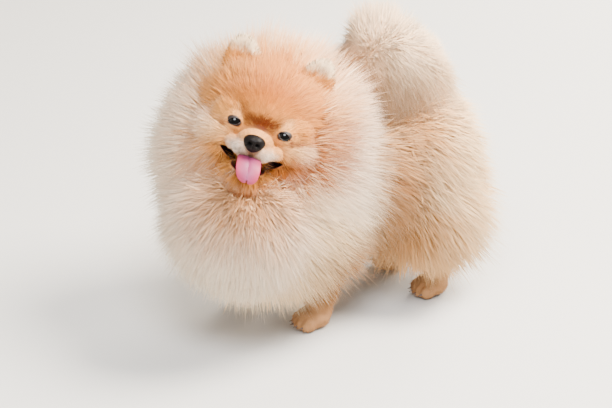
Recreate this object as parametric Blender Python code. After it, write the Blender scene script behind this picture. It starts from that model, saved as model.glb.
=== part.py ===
# A Pomeranian standing, its head turned to its left and up, mouth open with the tongue out.
# The dog faces -Y, its left side is +X and +Z is up. All sizes are in metres.
# Flesh and undercoat are smooth cores; the long coat stands on them as flat, tapered locks.

import math

import bmesh
import bpy
import numpy as np
from mathutils import Matrix, Vector
from mathutils.bvhtree import BVHTree

SEED = 20
GAP = 0.0003
SAME_PLACE, DRAW_BACK = 0.000002, 0.00003

# Where the eyes' midpoint is, and how the head is turned.
EYE_LEVEL = Vector((0.0508, -0.1154, 0.2133))
HEAD_YAW, HEAD_PITCH, HEAD_ROLL = 60.0, 25.0, 17.5

EYE_SPREAD, EYE_RADIUS, EYE_DEPTH = 0.0225, 0.0080, 0.0060
NOSE_PLACE, NOSE_RADII = (0, -0.0262, -0.0132), (0.0090, 0.0066, 0.0078)
NOSTRIL_RADIUS = 0.0021
EAR_BASE, EAR_TIP = (0.0275, 0.042, 0.030), (0.0380, 0.041, 0.0740)
EAR_WIDTH, EAR_THICKNESS, EAR_CUP = 0.0245, 0.0060, 0.0034
TONGUE_THICKNESS = 0.0036
LIP_LEVEL, MOUTH_TILT = -0.0300, 28.0

# Where each leg stands, left and right of the middle.
FORELEG_LEFT, FORELEG_RIGHT = (0.036, -0.046), (-0.034, -0.070)
HINDLEG_LEFT, HINDLEG_RIGHT = (0.034, 0.082), (-0.034, 0.082)
LEG_ROOM = 0.0160
COAT_HEM = 0.030
SHAFT_RADIUS = 0.0120
PAW_RADII = (0.0132, 0.0165, 0.0110)

# The bowl that the head and its coat fill, in the head's own frame: radius and distance back.
BOWL_MIDDLE = -0.002
BOWL_BACK = ((0.034, 0.050), (0.080, 0.066))
BOWL_WALL = ((0.080, 0.066), (0.084, 0.040), (0.076, 0.000), (0.058, -0.045))
BOWL_FRONT = -0.070
BOWL_SQUASH = 0.70

# The seam of ruff and torso: a flat disc whose rim flares backwards along the lie of the coat.
RUFF_AXIS = Vector((-0.42, 0.68, -0.60)).normalized()
RUFF_SEAM_CENTRE = Vector((0.004, -0.058, 0.158))
RUFF_DISC, RUFF_LEAN = 0.050, 60.0
FAR = 0.30

# The crowned surface between the tail's plume and the coat of the back: y and height, front to rear.
SADDLE = (
    (-0.30, 0.80),
    (-0.022, 0.246),
    (0.030, 0.216),
    (0.074, 0.200),
    (0.102, 0.182),
    (0.140, 0.146),
    (0.40, -0.10),
)
SADDLE_COLUMNS = (-0.40, -0.10, -0.06, -0.03, 0.0, 0.03, 0.06, 0.10, 0.40)
SADDLE_CROWN = 6.5


def head_matrix():
    turn = (
        Matrix.Rotation(math.radians(HEAD_YAW), 4, "Z")
        @ Matrix.Rotation(math.radians(-HEAD_PITCH), 4, "X")
        @ Matrix.Rotation(math.radians(HEAD_ROLL), 4, "Y")
    )
    return Matrix.Translation(EYE_LEVEL) @ turn


HEAD = head_matrix()
HEAD_INVERSE = HEAD.inverted()


def on_head(point):
    return HEAD @ Vector(point)


def along_head(direction):
    return HEAD.to_3x3() @ Vector(direction)


HEAD_AXIS = along_head((0, 1, 0))

# Ellipsoids of flesh and undercoat: centre and radii. Those of the head are in the head's own frame.
HEAD_FORMS = (
    ((0, 0.038, 0.008), (0.040, 0.040, 0.036)),
    ((0.0205, 0.0145, 0.0015), (0.0165, 0.0150, 0.0150)),
    ((-0.0205, 0.0145, 0.0015), (0.0165, 0.0150, 0.0150)),
    ((0, 0.015, 0.010), (0.0150, 0.0155, 0.0150)),
    ((0.024, 0.026, -0.014), (0.020, 0.024, 0.020)),
    ((-0.024, 0.026, -0.014), (0.020, 0.024, 0.020)),
    ((0, -0.004, -0.0125), (0.0150, 0.0225, 0.0110)),
    ((0.0098, -0.0095, -0.0190), (0.0112, 0.0160, 0.0086)),
    ((-0.0098, -0.0095, -0.0190), (0.0112, 0.0160, 0.0086)),
)
JAW_FORMS = (
    ((0, -0.0035, -0.0468), (0.0140, 0.0190, 0.0078)),
    ((0, 0.018, -0.0400), (0.0250, 0.0230, 0.0135)),
)
RUFF_FORMS = (
    ((0.014, 0.075, -0.016), (0.072, 0.050, 0.068)),
    ((0.006, 0.036, -0.076), (0.042, 0.034, 0.030)),
)
BODY_FORMS = (
    ((0.007, -0.080, 0.118), (0.062, 0.062, 0.062)),
    ((0, -0.030, 0.140), (0.055, 0.060, 0.052)),
    ((0, 0.010, 0.132), (0.052, 0.075, 0.050)),
    ((0, 0.062, 0.138), (0.054, 0.044, 0.055)),
    ((0.033, 0.066, 0.096), (0.029, 0.038, 0.046)),
    ((-0.033, 0.066, 0.096), (0.029, 0.038, 0.046)),
)
TAIL_PATH = (
    (0, 0.070, 0.165),
    (0, 0.086, 0.190),
    (0, 0.079, 0.215),
    (0, 0.055, 0.232),
    (0, 0.028, 0.236),
    (0, 0.004, 0.227),
)
TAIL_RADII = (0.013, 0.014, 0.018, 0.020, 0.019, 0.011)


def clear_scene():
    for obj in list(bpy.data.objects):
        bpy.data.objects.remove(obj, do_unlink=True)


def coat_material(name, colour, roughness):
    made = bpy.data.materials.new(name)
    made.use_nodes = True
    shader = made.node_tree.nodes["Principled BSDF"]
    shader.inputs["Base Color"].default_value = (*colour, 1)
    shader.inputs["Roughness"].default_value = roughness
    shader.inputs["Metallic"].default_value = 0
    return made


def new_object(name, bm, helper=False):
    mesh = bpy.data.meshes.new(name)
    bm.to_mesh(mesh)
    bm.free()
    obj = bpy.data.objects.new(name, mesh)
    bpy.context.scene.collection.objects.link(obj)
    if helper:
        hide_helper(obj)
    return obj


def hide_helper(obj):
    obj.hide_render = True
    obj.display_type = "WIRE"


def drop(*objects):
    for obj in objects:
        bpy.data.objects.remove(obj, do_unlink=True)


def apply_modifiers(obj):
    bpy.context.view_layer.update()
    evaluated = obj.evaluated_get(bpy.context.evaluated_depsgraph_get())
    mesh = bpy.data.meshes.new_from_object(evaluated)
    obj.modifiers.clear()
    obj.data = mesh


def boolean(obj, other, operation, solver="MANIFOLD"):
    cut = obj.modifiers.new(operation.title(), "BOOLEAN")
    cut.operation = operation
    cut.solver = solver
    cut.object = other
    apply_modifiers(obj)


def join_pieces(obj, pieces, solver="MANIFOLD"):
    # One union takes in all the pieces at once, and they are removed afterwards.
    group = bpy.data.collections.new(obj.name + "_pieces")
    bpy.context.scene.collection.children.link(group)
    for piece in pieces:
        bpy.context.scene.collection.objects.unlink(piece)
        group.objects.link(piece)
    union = obj.modifiers.new("Union", "BOOLEAN")
    union.operation = "UNION"
    union.solver = solver
    union.operand_type = "COLLECTION"
    union.collection = group
    apply_modifiers(obj)
    drop(*pieces)
    bpy.data.collections.remove(group)


def keep_largest(obj):
    bm = bmesh.new()
    bm.from_mesh(obj.data)
    bmesh.ops.triangulate(bm, faces=bm.faces)
    seen, shells = set(), []
    for start in bm.faces:
        if start in seen:
            continue
        shell, stack = [], [start]
        seen.add(start)
        while stack:
            face = stack.pop()
            shell.append(face)
            for edge in face.edges:
                for beside in edge.link_faces:
                    if beside not in seen:
                        seen.add(beside)
                        stack.append(beside)
        shells.append(shell)
    shells.sort(key=lambda shell: sum(face.calc_area() for face in shell))
    for shell in shells[:-1]:
        bmesh.ops.delete(bm, geom=shell, context="FACES")
    bm.to_mesh(obj.data)
    bm.free()


def part_pinches(bm):
    # Where two stretches of the surface meet in the same points, each draws back into its own solid.
    bm.normal_update()
    groups = {}
    for vert in bm.verts:
        groups.setdefault(tuple(round(c / SAME_PLACE) for c in vert.co), []).append(vert)
    shifts = [(v, v.normal * -DRAW_BACK) for group in groups.values() if len(group) > 1 for v in group]
    for vert, shift in shifts:
        vert.co += shift


def weld(obj):
    # Closes up the hair-thin slivers that cutting leaves.
    bm = bmesh.new()
    bm.from_mesh(obj.data)
    part_pinches(bm)
    bmesh.ops.remove_doubles(bm, verts=bm.verts, dist=SAME_PLACE)
    pinched = [edge for edge in bm.edges if len(edge.link_faces) > 2]
    if pinched:
        print(obj.name, "pinched", [round(1000 * edge.calc_length(), 3) for edge in pinched])
        bmesh.ops.collapse(bm, edges=pinched)
    bmesh.ops.delete(bm, geom=[edge for edge in bm.edges if not edge.link_faces], context="EDGES")
    bm.to_mesh(obj.data)
    bm.free()
    keep_largest(obj)


def ellipsoid(centre, radii, matrix=None, rings=12, segments=16):
    bm = bmesh.new()
    bmesh.ops.create_uvsphere(bm, u_segments=segments, v_segments=rings, radius=1)
    place = Matrix.Translation(centre) @ Matrix.Diagonal((*radii, 1))
    bm.transform((matrix or Matrix.Identity(4)) @ place)
    return bm


def fused_form(name, forms, voxel, triangles, coarse=None):
    # Overlapping ellipsoids melted into one smooth closed surface, with larger facets where coarse says.
    whole = bmesh.new()
    for centre, radii, matrix in forms:
        part = ellipsoid(centre, radii, matrix, 24, 32)
        scratch = bpy.data.meshes.new("scratch")
        part.to_mesh(scratch)
        part.free()
        whole.from_mesh(scratch)
        bpy.data.meshes.remove(scratch)
    obj = new_object(name, whole)
    remesh = obj.modifiers.new("Remesh", "REMESH")
    remesh.mode = "VOXEL"
    remesh.voxel_size = voxel
    smooth = obj.modifiers.new("Smooth", "SMOOTH")
    smooth.iterations = 6
    apply_modifiers(obj)
    thin = obj.modifiers.new("Decimate", "DECIMATE")
    thin.ratio = triangles / (2 * len(obj.data.polygons))
    thin.use_collapse_triangulate = True
    apply_modifiers(obj)
    if coarse:
        hidden = obj.vertex_groups.new(name="hidden")
        hidden.add([v.index for v in obj.data.vertices if coarse(v.co)], 1, "REPLACE")
        thin = obj.modifiers.new("Thin", "DECIMATE")
        thin.ratio = 0.68
        thin.vertex_group = "hidden"
        thin.vertex_group_factor = 100
        thin.use_collapse_triangulate = True
        apply_modifiers(obj)
    keep_largest(obj)
    return obj


def grown_copy(obj, by=GAP):
    # The same form moved outwards along its normals, to cut what has to stay clear of it.
    bm = bmesh.new()
    bm.from_mesh(obj.data)
    bm.normal_update()
    shifts = [(vert, vert.normal.copy()) for vert in bm.verts]
    for vert, normal in shifts:
        vert.co += normal * by
    return new_object(obj.name + "_grown", bm, helper=True)


def turned(name, profile, matrix, segments=32):
    # A closed solid turned about Z from radii and heights that start and end on the axis.
    bm = bmesh.new()
    rings = []
    for radius, along in profile:
        if radius == 0:
            rings.append([bm.verts.new((0, 0, along))])
            continue
        turns = [2 * math.pi * k / segments for k in range(segments)]
        rings.append([bm.verts.new((radius * math.cos(t), radius * math.sin(t), along)) for t in turns])
    for ring, after in zip(rings, rings[1:]):
        for k in range(segments):
            n = (k + 1) % segments
            if len(ring) == 1:
                bm.faces.new((ring[0], after[k], after[n]))
            elif len(after) == 1:
                bm.faces.new((ring[k], after[0], ring[n]))
            else:
                bm.faces.new((ring[k], after[k], after[n], ring[n]))
    bmesh.ops.recalc_face_normals(bm, faces=bm.faces)
    bm.transform(matrix)
    return new_object(name, bm, helper=True)


def head_bowl(name, shift):
    # The head's room, grown or shrunk a little so that head and ruff keep their gap.
    profile = [(0, BOWL_BACK[0][1] + shift)]
    profile += [(r, y + shift) for r, y in BOWL_BACK]
    profile += [(r + shift, y) for r, y in BOWL_WALL[1:]]
    profile.append((0, BOWL_FRONT - shift))
    bowl = turned(name, profile, Matrix.Rotation(math.radians(-90), 4, "X"))
    for vert in bowl.data.vertices:
        if vert.co.z < 0:
            vert.co.z *= BOWL_SQUASH
        vert.co.z += BOWL_MIDDLE
    bowl.data.transform(HEAD)
    return bowl


def bowl_back(radius):
    return float(np.interp(radius, [r for r, _ in BOWL_BACK], [y for _, y in BOWL_BACK]))


def bowl_wall(y):
    return float(np.interp(-y, [-y for _, y in BOWL_WALL], [r for r, _ in BOWL_WALL]))


def bowl_place(spot):
    # Radius and distance back of a spot in the head's frame, with the lower half stretched round.
    p = HEAD_INVERSE @ spot
    up = p.z - BOWL_MIDDLE
    stretch = 1 / BOWL_SQUASH if up < 0 else 1.0
    return p, math.hypot(p.x, up * stretch)


def in_bowl(spot, margin):
    p, radius = bowl_place(spot)
    return p.y < bowl_back(radius) - margin and radius < bowl_wall(p.y) - margin


def keep_in_bowl(spot, slack):
    margin = 0.0012 + slack
    p, radius = bowl_place(spot)
    p.y = min(p.y, bowl_back(radius) - margin)
    room = bowl_wall(p.y) - margin
    if radius > room:
        p.x *= room / radius
        p.z = BOWL_MIDDLE + (p.z - BOWL_MIDDLE) * room / radius
    spot[:] = HEAD @ p
    return spot


def keep_off_bowl(spot, slack):
    margin = 0.0012 + slack
    p, radius = bowl_place(spot)
    inward, forward = bowl_wall(p.y) + margin - radius, bowl_back(radius) + margin - p.y
    if inward > 0 and forward > 0:
        if inward < forward and radius > 1e-4:
            grow = (radius + inward) / radius
            p.x *= grow
            p.z = BOWL_MIDDLE + (p.z - BOWL_MIDDLE) * grow
        else:
            p.y += forward
        spot[:] = HEAD @ p
    return spot


def ruff_seam_side(name, rear):
    # A turned solid that fills one side of the seam of ruff and torso, half a gap away from it.
    slope = 1 / math.tan(math.radians(RUFF_LEAN))
    shift = GAP / 2 if rear else -GAP / 2
    wide = 2 * FAR
    flare = shift + (wide - RUFF_DISC) * slope
    end = flare + FAR if rear else shift - FAR
    profile = ((0, shift), (RUFF_DISC, shift), (wide, flare), (wide, end), (0, end))
    turn = RUFF_AXIS.to_track_quat("Z", "Y").to_matrix().to_4x4()
    return turned(name, profile, Matrix.Translation(RUFF_SEAM_CENTRE) @ turn)


def behind_ruff(point):
    # How far a point is behind the seam of ruff and torso, measured along the seam's axis.
    rel = point - RUFF_SEAM_CENTRE
    along = rel.dot(RUFF_AXIS)
    radius = (rel - RUFF_AXIS * along).length
    return along - max(0.0, radius - RUFF_DISC) / math.tan(math.radians(RUFF_LEAN))


def saddle_height(x, y):
    crown = SADDLE_CROWN * min(abs(x), 0.10) ** 2
    return float(np.interp(y, [p[0] for p in SADDLE], [p[1] for p in SADDLE])) - crown


def saddle_side(name, upper):
    # The space above or below the saddle, half a gap away from it.
    shift = GAP / 2 if upper else -GAP / 2
    far = 1.4 if upper else -1.4
    bm = bmesh.new()
    grid, back = [], []
    for x in SADDLE_COLUMNS:
        grid.append([bm.verts.new((x, y, saddle_height(x, y) + shift)) for y, _ in SADDLE])
        back.append([bm.verts.new((x, y, far)) for y, _ in SADDLE])
    wide, long = len(SADDLE_COLUMNS), len(SADDLE)
    for sheet in (grid, back):
        for i in range(wide - 1):
            for j in range(long - 1):
                corner = (sheet[i][j], sheet[i + 1][j], sheet[i + 1][j + 1], sheet[i][j + 1])
                bm.faces.new(corner[:3])
                bm.faces.new((corner[0], corner[2], corner[3]))
    for i in range(wide - 1):
        for j in (0, long - 1):
            bm.faces.new((grid[i][j], grid[i + 1][j], back[i + 1][j], back[i][j]))
    for j in range(long - 1):
        for i in (0, wide - 1):
            bm.faces.new((grid[i][j], grid[i][j + 1], back[i][j + 1], back[i][j]))
    bmesh.ops.recalc_face_normals(bm, faces=bm.faces)
    return new_object(name, bm, helper=True)


def loft(name, centres, radii, sides, across=(1, 0, 0)):
    # A closed tube through the centres, each ring turned to face along the path.
    bm = bmesh.new()
    points = [Vector(c) for c in centres]
    rings = []
    for k, centre in enumerate(points):
        ahead = points[min(k + 1, len(points) - 1)] - points[max(k - 1, 0)]
        side = Vector(across)
        side = (side - ahead.normalized() * side.dot(ahead.normalized())).normalized()
        up = ahead.normalized().cross(side)
        wide, deep = radii[k] if isinstance(radii[k], tuple) else (radii[k], radii[k])
        ring = []
        for s in range(sides):
            turn = 2 * math.pi * s / sides
            ring.append(bm.verts.new(centre + side * (wide * math.cos(turn)) + up * (deep * math.sin(turn))))
        rings.append(ring)
    for ring, after in zip(rings, rings[1:]):
        for s in range(sides):
            n = (s + 1) % sides
            bm.faces.new((ring[s], ring[n], after[n], after[s]))
    bm.faces.new(rings[0][::-1])
    bm.faces.new(rings[-1])
    bmesh.ops.recalc_face_normals(bm, faces=bm.faces)
    return new_object(name, bm)


def smooth_path(points, values, count):
    # Points and radii read evenly from a Catmull-Rom curve through the given ones.
    p = np.array(points, float)
    v = np.array(values, float)
    ends_p = np.vstack([2 * p[0] - p[1], p, 2 * p[-1] - p[-2]])
    ends_v = np.concatenate([[v[0]], v, [v[-1]]])
    out_p, out_v = [], []
    for t in np.linspace(0, len(p) - 1 - 1e-9, count):
        k, f = int(t), t - int(t)
        a, b, c, d = ends_p[k : k + 4]
        out_p.append(0.5 * (2 * b + (c - a) * f + (2 * a - 5 * b + 4 * c - d) * f**2 + (3 * b - a - 3 * c + d) * f**3))
        out_v.append(ends_v[k + 1] * (1 - f) + ends_v[min(k + 2, len(ends_v) - 1)] * f)
    return out_p, out_v


# Share of a lock's length from its root, the first one sunk in the core, and share of its full width.
LOCK_STATIONS = ((-0.16, 0.75), (0.34, 1.0), (0.74, 0.64))
SLACK = 0.0030


def spread_roots(obj, spacing, allowed, seed, tries=9000):
    # Roots spread evenly over a core: random places, each kept if it is far enough from those kept before.
    rng = np.random.RandomState(seed)
    mesh = obj.data
    mesh.calc_loop_triangles()
    corners = np.array([[mesh.vertices[v].co[:] for v in tri.vertices] for tri in mesh.loop_triangles])
    normals = np.cross(corners[:, 1] - corners[:, 0], corners[:, 2] - corners[:, 0])
    areas = np.linalg.norm(normals, axis=1)
    picks = rng.choice(len(areas), tries, p=areas / areas.sum())
    u, w = rng.rand(tries), rng.rand(tries)
    over = u + w > 1
    u[over], w[over] = 1 - u[over], 1 - w[over]
    tri = corners[picks]
    places = tri[:, 0] + u[:, None] * (tri[:, 1] - tri[:, 0]) + w[:, None] * (tri[:, 2] - tri[:, 0])
    kept, kept_array = [], np.empty((0, 3))
    for k in range(tries):
        place = Vector(places[k])
        normal = Vector(normals[picks[k]]).normalized()
        if not allowed(place, normal):
            continue
        if len(kept) and np.linalg.norm(kept_array - places[k], axis=1).min() < spacing(place):
            continue
        kept.append((place, normal))
        kept_array = np.vstack([kept_array, places[k]])
    return kept


def lock_mesh(root, normal, way, length, width, thickness, droop, fit):
    # A flat, tapered lock with a ridge along its back: it leaves its root one way and bends another.
    # fit moves a spot clear of what lies beside the coat, and each spot keeps its own small slack.
    bm = bmesh.new()
    rings = []
    slack = np.random.RandomState(int(abs(root.x * 7 + root.y * 11 + root.z * 13) * 1e6))
    side = normal.cross(way)
    if side.length < 1e-3:
        side = way.orthogonal()
    side.normalize()
    for share, full in LOCK_STATIONS:
        centre = root + way * (length * share) + droop * (length * max(0.0, share) ** 2)
        heading = (way + droop * (2 * max(0.0, share))).normalized()
        thick = side.cross(heading).normalized()
        if thick.dot(normal) < 0:
            thick = -thick
        ring = []
        for across, out in ((1, -0.35), (0, 0.65), (-1, -0.35)):
            spot = centre + side * (across * full * width / 2) + thick * (out * full * thickness)
            ring.append(bm.verts.new(fit(spot, slack.uniform(0, SLACK)) if share > 0 else spot))
        rings.append(ring)
    tip = bm.verts.new(fit(root + way * length + droop * length, slack.uniform(0, SLACK)))
    for ring, after in zip(rings, rings[1:]):
        for k in range(3):
            n = (k + 1) % 3
            bm.faces.new((ring[k], ring[n], after[n]))
            bm.faces.new((ring[k], after[n], after[k]))
    for k in range(3):
        bm.faces.new((rings[-1][k], rings[-1][(k + 1) % 3], tip))
    bm.faces.new(rings[0][::-1])
    bmesh.ops.recalc_face_normals(bm, faces=bm.faces)
    return new_object("lock", bm)


def tangent(direction, normal):
    flat = direction - normal * direction.dot(normal)
    return flat.normalized() if flat.length > 1e-6 else normal.orthogonal()


def share_between(value, low, high):
    return min(1.0, max(0.0, (value - low) / (high - low)))


def push_from_line(spot, x, y, room):
    # Moves a spot out of an upright cylinder, such as the room that a leg takes.
    away = Vector((spot.x - x, spot.y - y, 0))
    if away.length < room:
        away = away.normalized() if away.length > 1e-5 else Vector((0, 1, 0))
        spot.x, spot.y = x + away.x * room, y + away.y * room
    return spot


LEGS = (
    ("foreleg_left", *FORELEG_LEFT),
    ("foreleg_right", *FORELEG_RIGHT),
    ("hindleg_left", *HINDLEG_LEFT),
    ("hindleg_right", *HINDLEG_RIGHT),
)


def clear_of_legs(spot, slack):
    for _, x, y in LEGS:
        push_from_line(spot, x, y, LEG_ROOM + 0.001 + slack)
    spot.z = max(spot.z, COAT_HEM + 3 * slack)


FACE_CENTRE = on_head((0, -0.005, -0.008))
RUFF_CENTRE = on_head((0, 0.045, -0.020))


def away_from(centre, place, drop_share):
    lie = (place - centre).normalized()
    return (lie + Vector((0, 0, -drop_share))).normalized()


def coat(core, number, spacing, allowed, grow, shape, fit, rooms, outside):
    # grow gives a lock's way and droop at a root; shape gives its length, width and thickness.
    # The locks are made one body, which is cut to its own rooms and clear of what lies beside it.
    rng = np.random.RandomState(SEED + number)
    locks = []
    for root, normal in spread_roots(core, spacing, allowed, SEED + 7 * number):
        way, droop = grow(root, normal)
        length, width, thickness = shape(root, normal)
        way = (way + Vector(rng.uniform(-0.10, 0.10, 3))).normalized()
        length *= rng.uniform(0.88, 1.12)
        width *= rng.uniform(0.88, 1.10)
        locks.append(lock_mesh(root, normal, way, length, width, thickness, droop, fit))
    print(core.name, "locks", len(locks), "core", len(core.data.polygons))
    whole = locks.pop()
    join_pieces(whole, locks)
    for room in rooms:
        boolean(whole, room, "INTERSECT")
    for other in outside:
        boolean(whole, other, "DIFFERENCE")
    join_pieces(core, [whole])
    keep_largest(core)


def head_coat(core, rooms, outside):
    def allowed(place, normal):
        p = HEAD_INVERSE @ place
        bare = p.y < 0.012 and abs(p.x) < 0.034 and p.z < 0.019
        mouth = p.z < -0.012 and p.y < 0.020 and abs(p.x) < 0.036
        ears = min((p - Vector((s * EAR_BASE[0], EAR_BASE[1], EAR_BASE[2]))).length for s in (-1, 1))
        under = p.z < -0.022 and abs(p.x) < 0.022
        return not (bare or ears < 0.015 or mouth or under or not in_bowl(place, 0.004))

    def grow(root, normal):
        p = HEAD_INVERSE @ root
        lie = tangent(away_from(FACE_CENTRE, root, 0.05), normal)
        crown = share_between(p.z, 0.020, 0.040)
        way = (normal * (0.50 + 0.25 * crown) + lie * 0.76).normalized()
        back = way.dot(HEAD_AXIS)
        if back > 0.30:
            way = (way - HEAD_AXIS * (back - 0.30)).normalized()
        return way, HEAD_AXIS * 0.12 + Vector((0, 0, -0.05))

    def shape(root, normal):
        p = HEAD_INVERSE @ root
        far = share_between(p.y, 0.000, 0.042)
        side = share_between(abs(p.x), 0.010, 0.038)
        low = share_between(-p.z, 0.0, 0.02)
        length = 0.014 + 0.012 * far + 0.016 * max(side, low) * (0.3 + 0.7 * far)
        return length, 0.0155 + 0.0085 * far, 0.0040 + 0.0014 * far

    def spacing(place):
        return 0.0122 + 0.0036 * share_between((HEAD_INVERSE @ place).y, 0.0, 0.04)

    coat(core, 1, spacing, allowed, grow, shape, keep_in_bowl, rooms, outside)


def ruff_coat(core, rooms, outside):
    def allowed(place, normal):
        rim = bowl_place(place)[1] > 0.062
        return behind_ruff(place) < -0.003 and (rim or not in_bowl(place, -0.0015))

    def grow(root, normal):
        out = away_from(RUFF_CENTRE, root, 0.25)
        if in_bowl(root, -0.0015):
            return (out - HEAD_AXIS * 0.5).normalized(), Vector((0, 0, -0.15)) + HEAD_AXIS * 0.10
        way = (normal * 0.55 + out * 0.45 + tangent(out, normal) * 0.45).normalized()
        low = share_between(0.15 - root.z, 0.0, 0.07)
        return way, Vector((0, 0, -0.10 - 0.16 * low)) + HEAD_AXIS * 0.04

    def shape(root, normal):
        low = share_between(0.13 - root.z, 0.0, 0.07)
        return 0.048 - 0.004 * low, 0.0285, 0.0074

    def fit(spot, slack):
        keep_off_bowl(spot, slack)
        lack = behind_ruff(spot) + 0.0012 + slack
        if lack > 0:
            spot -= RUFF_AXIS * lack
        clear_of_legs(spot, slack)
        spot.z = min(spot.z, saddle_height(spot.x, spot.y) - 0.0015 - slack)
        return spot

    coat(core, 2, lambda place: 0.0202, allowed, grow, shape, fit, rooms, outside)


def torso_coat(core, rooms, outside):
    def allowed(place, normal):
        stem = (place - Vector(TAIL_PATH[1])).length < 0.022
        belly = normal.z < -0.75 and abs(place.x) < 0.030
        leg = any(math.hypot(place.x - x, place.y - y) < LEG_ROOM and normal.z < -0.3 for _, x, y in LEGS)
        hidden = (place - RUFF_SEAM_CENTRE).length < RUFF_DISC
        return not (stem or belly or leg or hidden)

    def grow(root, normal):
        rear = share_between(root.y, 0.04, 0.09)
        high = share_between(root.z, 0.165, 0.185)
        lie = tangent(Vector((0, 1, -0.45 - 1.1 * rear)), normal)
        lift = 0.66 - 0.26 * high
        way = (normal * lift + lie * math.sqrt(1 - lift**2)).normalized()
        return way, Vector((0, 0, -0.14 - 0.10 * rear))

    def shape(root, normal):
        rear = share_between(root.y, 0.05, 0.10)
        high = share_between(root.z, 0.165, 0.185)
        low = share_between(0.12 - root.z, 0.0, 0.05)
        return 0.041 + 0.005 * rear - 0.010 * high + 0.008 * low, 0.0310, 0.0070

    def fit(spot, slack):
        lack = 0.0012 + slack - behind_ruff(spot)
        if lack > 0:
            spot += RUFF_AXIS * lack
        clear_of_legs(spot, slack)
        if spot.z > 0.165:
            push_from_line(spot, TAIL_PATH[1][0], TAIL_PATH[1][1], 0.017 + slack)
        spot.z = min(spot.z, saddle_height(spot.x, spot.y) - 0.0015 - slack)
        return spot

    coat(core, 3, lambda place: 0.0248, allowed, grow, shape, fit, rooms, outside)


def tail_coat(core, rooms, outside):
    path = [Vector(p) for p in smooth_path(TAIL_PATH, TAIL_RADII, 24)[0]]
    last = len(path) - 1

    def allowed(place, normal):
        return place.z > saddle_height(place.x, place.y) - 0.004

    def grow(root, normal):
        k = min(range(len(path)), key=lambda n: (path[n] - root).length)
        ahead = (path[min(k + 1, last)] - path[max(k - 1, 0)]).normalized()
        tip = k / last
        way = normal * (0.70 + 0.20 * tip) + ahead * (0.75 - 0.55 * tip) + Vector((0, 0.20 * tip, 0.12))
        way.normalize()
        return way, Vector((0, 0, -0.10 - 0.30 * abs(way.x)))

    def shape(root, normal):
        up, down = max(0.0, normal.z), max(0.0, -normal.z)
        return 0.044 + 0.008 * up - 0.018 * down, 0.0225, 0.0070

    def fit(spot, slack):
        spot.z = max(spot.z, saddle_height(spot.x, spot.y) + 0.0015 + slack)
        return spot

    coat(core, 4, lambda place: 0.0140, allowed, grow, shape, fit, rooms, outside)


# Parts of the head


def eyeball(side, name):
    centre = (side * EYE_SPREAD, EYE_DEPTH, 0)
    return new_object(name, ellipsoid(centre, (EYE_RADIUS,) * 3, HEAD, 8, 12))


def lid_ring(side):
    # The rim of the two lids: an almond-shaped ring round the front of the eye.
    bm = bmesh.new()
    steps, sides, rim, proud = 14, 5, 0.0016, 0.0008
    rings = []
    for k in range(steps):
        turn = 2 * math.pi * k / steps
        wide, high = 0.0068 * math.cos(turn), 0.0050 * math.sin(turn)
        deep = math.sqrt((EYE_RADIUS + proud) ** 2 - wide**2 - high**2)
        centre = Vector((side * EYE_SPREAD + wide, EYE_DEPTH - deep, high))
        outward = Vector((wide, 0, high)).normalized()
        ring = []
        for s in range(sides):
            a = 2 * math.pi * s / sides
            spot = centre + outward * (rim * math.cos(a)) + Vector((0, rim * 1.6 * math.sin(a), 0))
            ring.append(bm.verts.new(HEAD @ spot))
        rings.append(ring)
    for k in range(steps):
        ring, after = rings[k], rings[(k + 1) % steps]
        for s in range(sides):
            n = (s + 1) % sides
            bm.faces.new((ring[s], ring[n], after[n], after[s]))
    bmesh.ops.recalc_face_normals(bm, faces=bm.faces)
    return new_object("lid", bm)


def nose_leather():
    nose = new_object("nose", ellipsoid(NOSE_PLACE, NOSE_RADII, HEAD, 8, 12))
    for side in (-1, 1):
        place = (side * 0.0042, NOSE_PLACE[1] - NOSE_RADII[1] * 0.88, NOSE_PLACE[2] + 0.0002)
        radii = (NOSTRIL_RADIUS, 0.0030, NOSTRIL_RADIUS * 0.8)
        hole = new_object("nostril", ellipsoid(place, radii, HEAD, 6, 8))
        boolean(nose, hole, "DIFFERENCE")
        drop(hole)
    return nose


def tongue():
    # It leaves the throat, lies on the floor of the mouth and hangs over the lower lip.
    path = ((0, 0.034, -0.0340), (0, 0.014, -0.0315), (0, -0.004, -0.0302), (0, -0.0165, -0.0300))
    path += ((0.001, -0.0245, -0.0335), (0.0025, -0.0282, -0.0395), (0.0045, -0.0285, -0.0470))
    half = (0.0080, 0.0088, 0.0096, 0.0102, 0.0106, 0.0102, 0.0054)
    centres, widths = smooth_path(path, half, 12)
    radii = [(w, TONGUE_THICKNESS / 2) for w in widths]
    return loft("tongue", [HEAD @ Vector(c) for c in centres], radii, 10, across=along_head((1, 0, 0)))


def ear(side, name):
    # A small upright ear: a rounded blade, hollowed on its front side.
    base, tip = Vector(EAR_BASE), Vector(EAR_TIP)
    base.x *= side
    tip.x *= side
    steps, centres, radii = 8, [], []
    for k in range(steps):
        share = k / (steps - 1)
        centres.append(HEAD @ base.lerp(tip, share))
        half = EAR_WIDTH / 2 * math.sqrt(max(0.05, 1 - share**3.2))
        radii.append((half, EAR_THICKNESS / 2 * (1 - 0.45 * share)))
    blade = loft(name, centres, radii, 10, across=along_head((1, 0, 0)))
    place = base.lerp(tip, 0.56) + Vector((0, -EAR_THICKNESS / 2 - 0.0006, 0))
    cup = new_object("cup", ellipsoid(place, (EAR_WIDTH * 0.30, EAR_CUP, 0.016), HEAD, 8, 10))
    boolean(blade, cup, "DIFFERENCE")
    drop(cup)
    return blade


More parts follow.
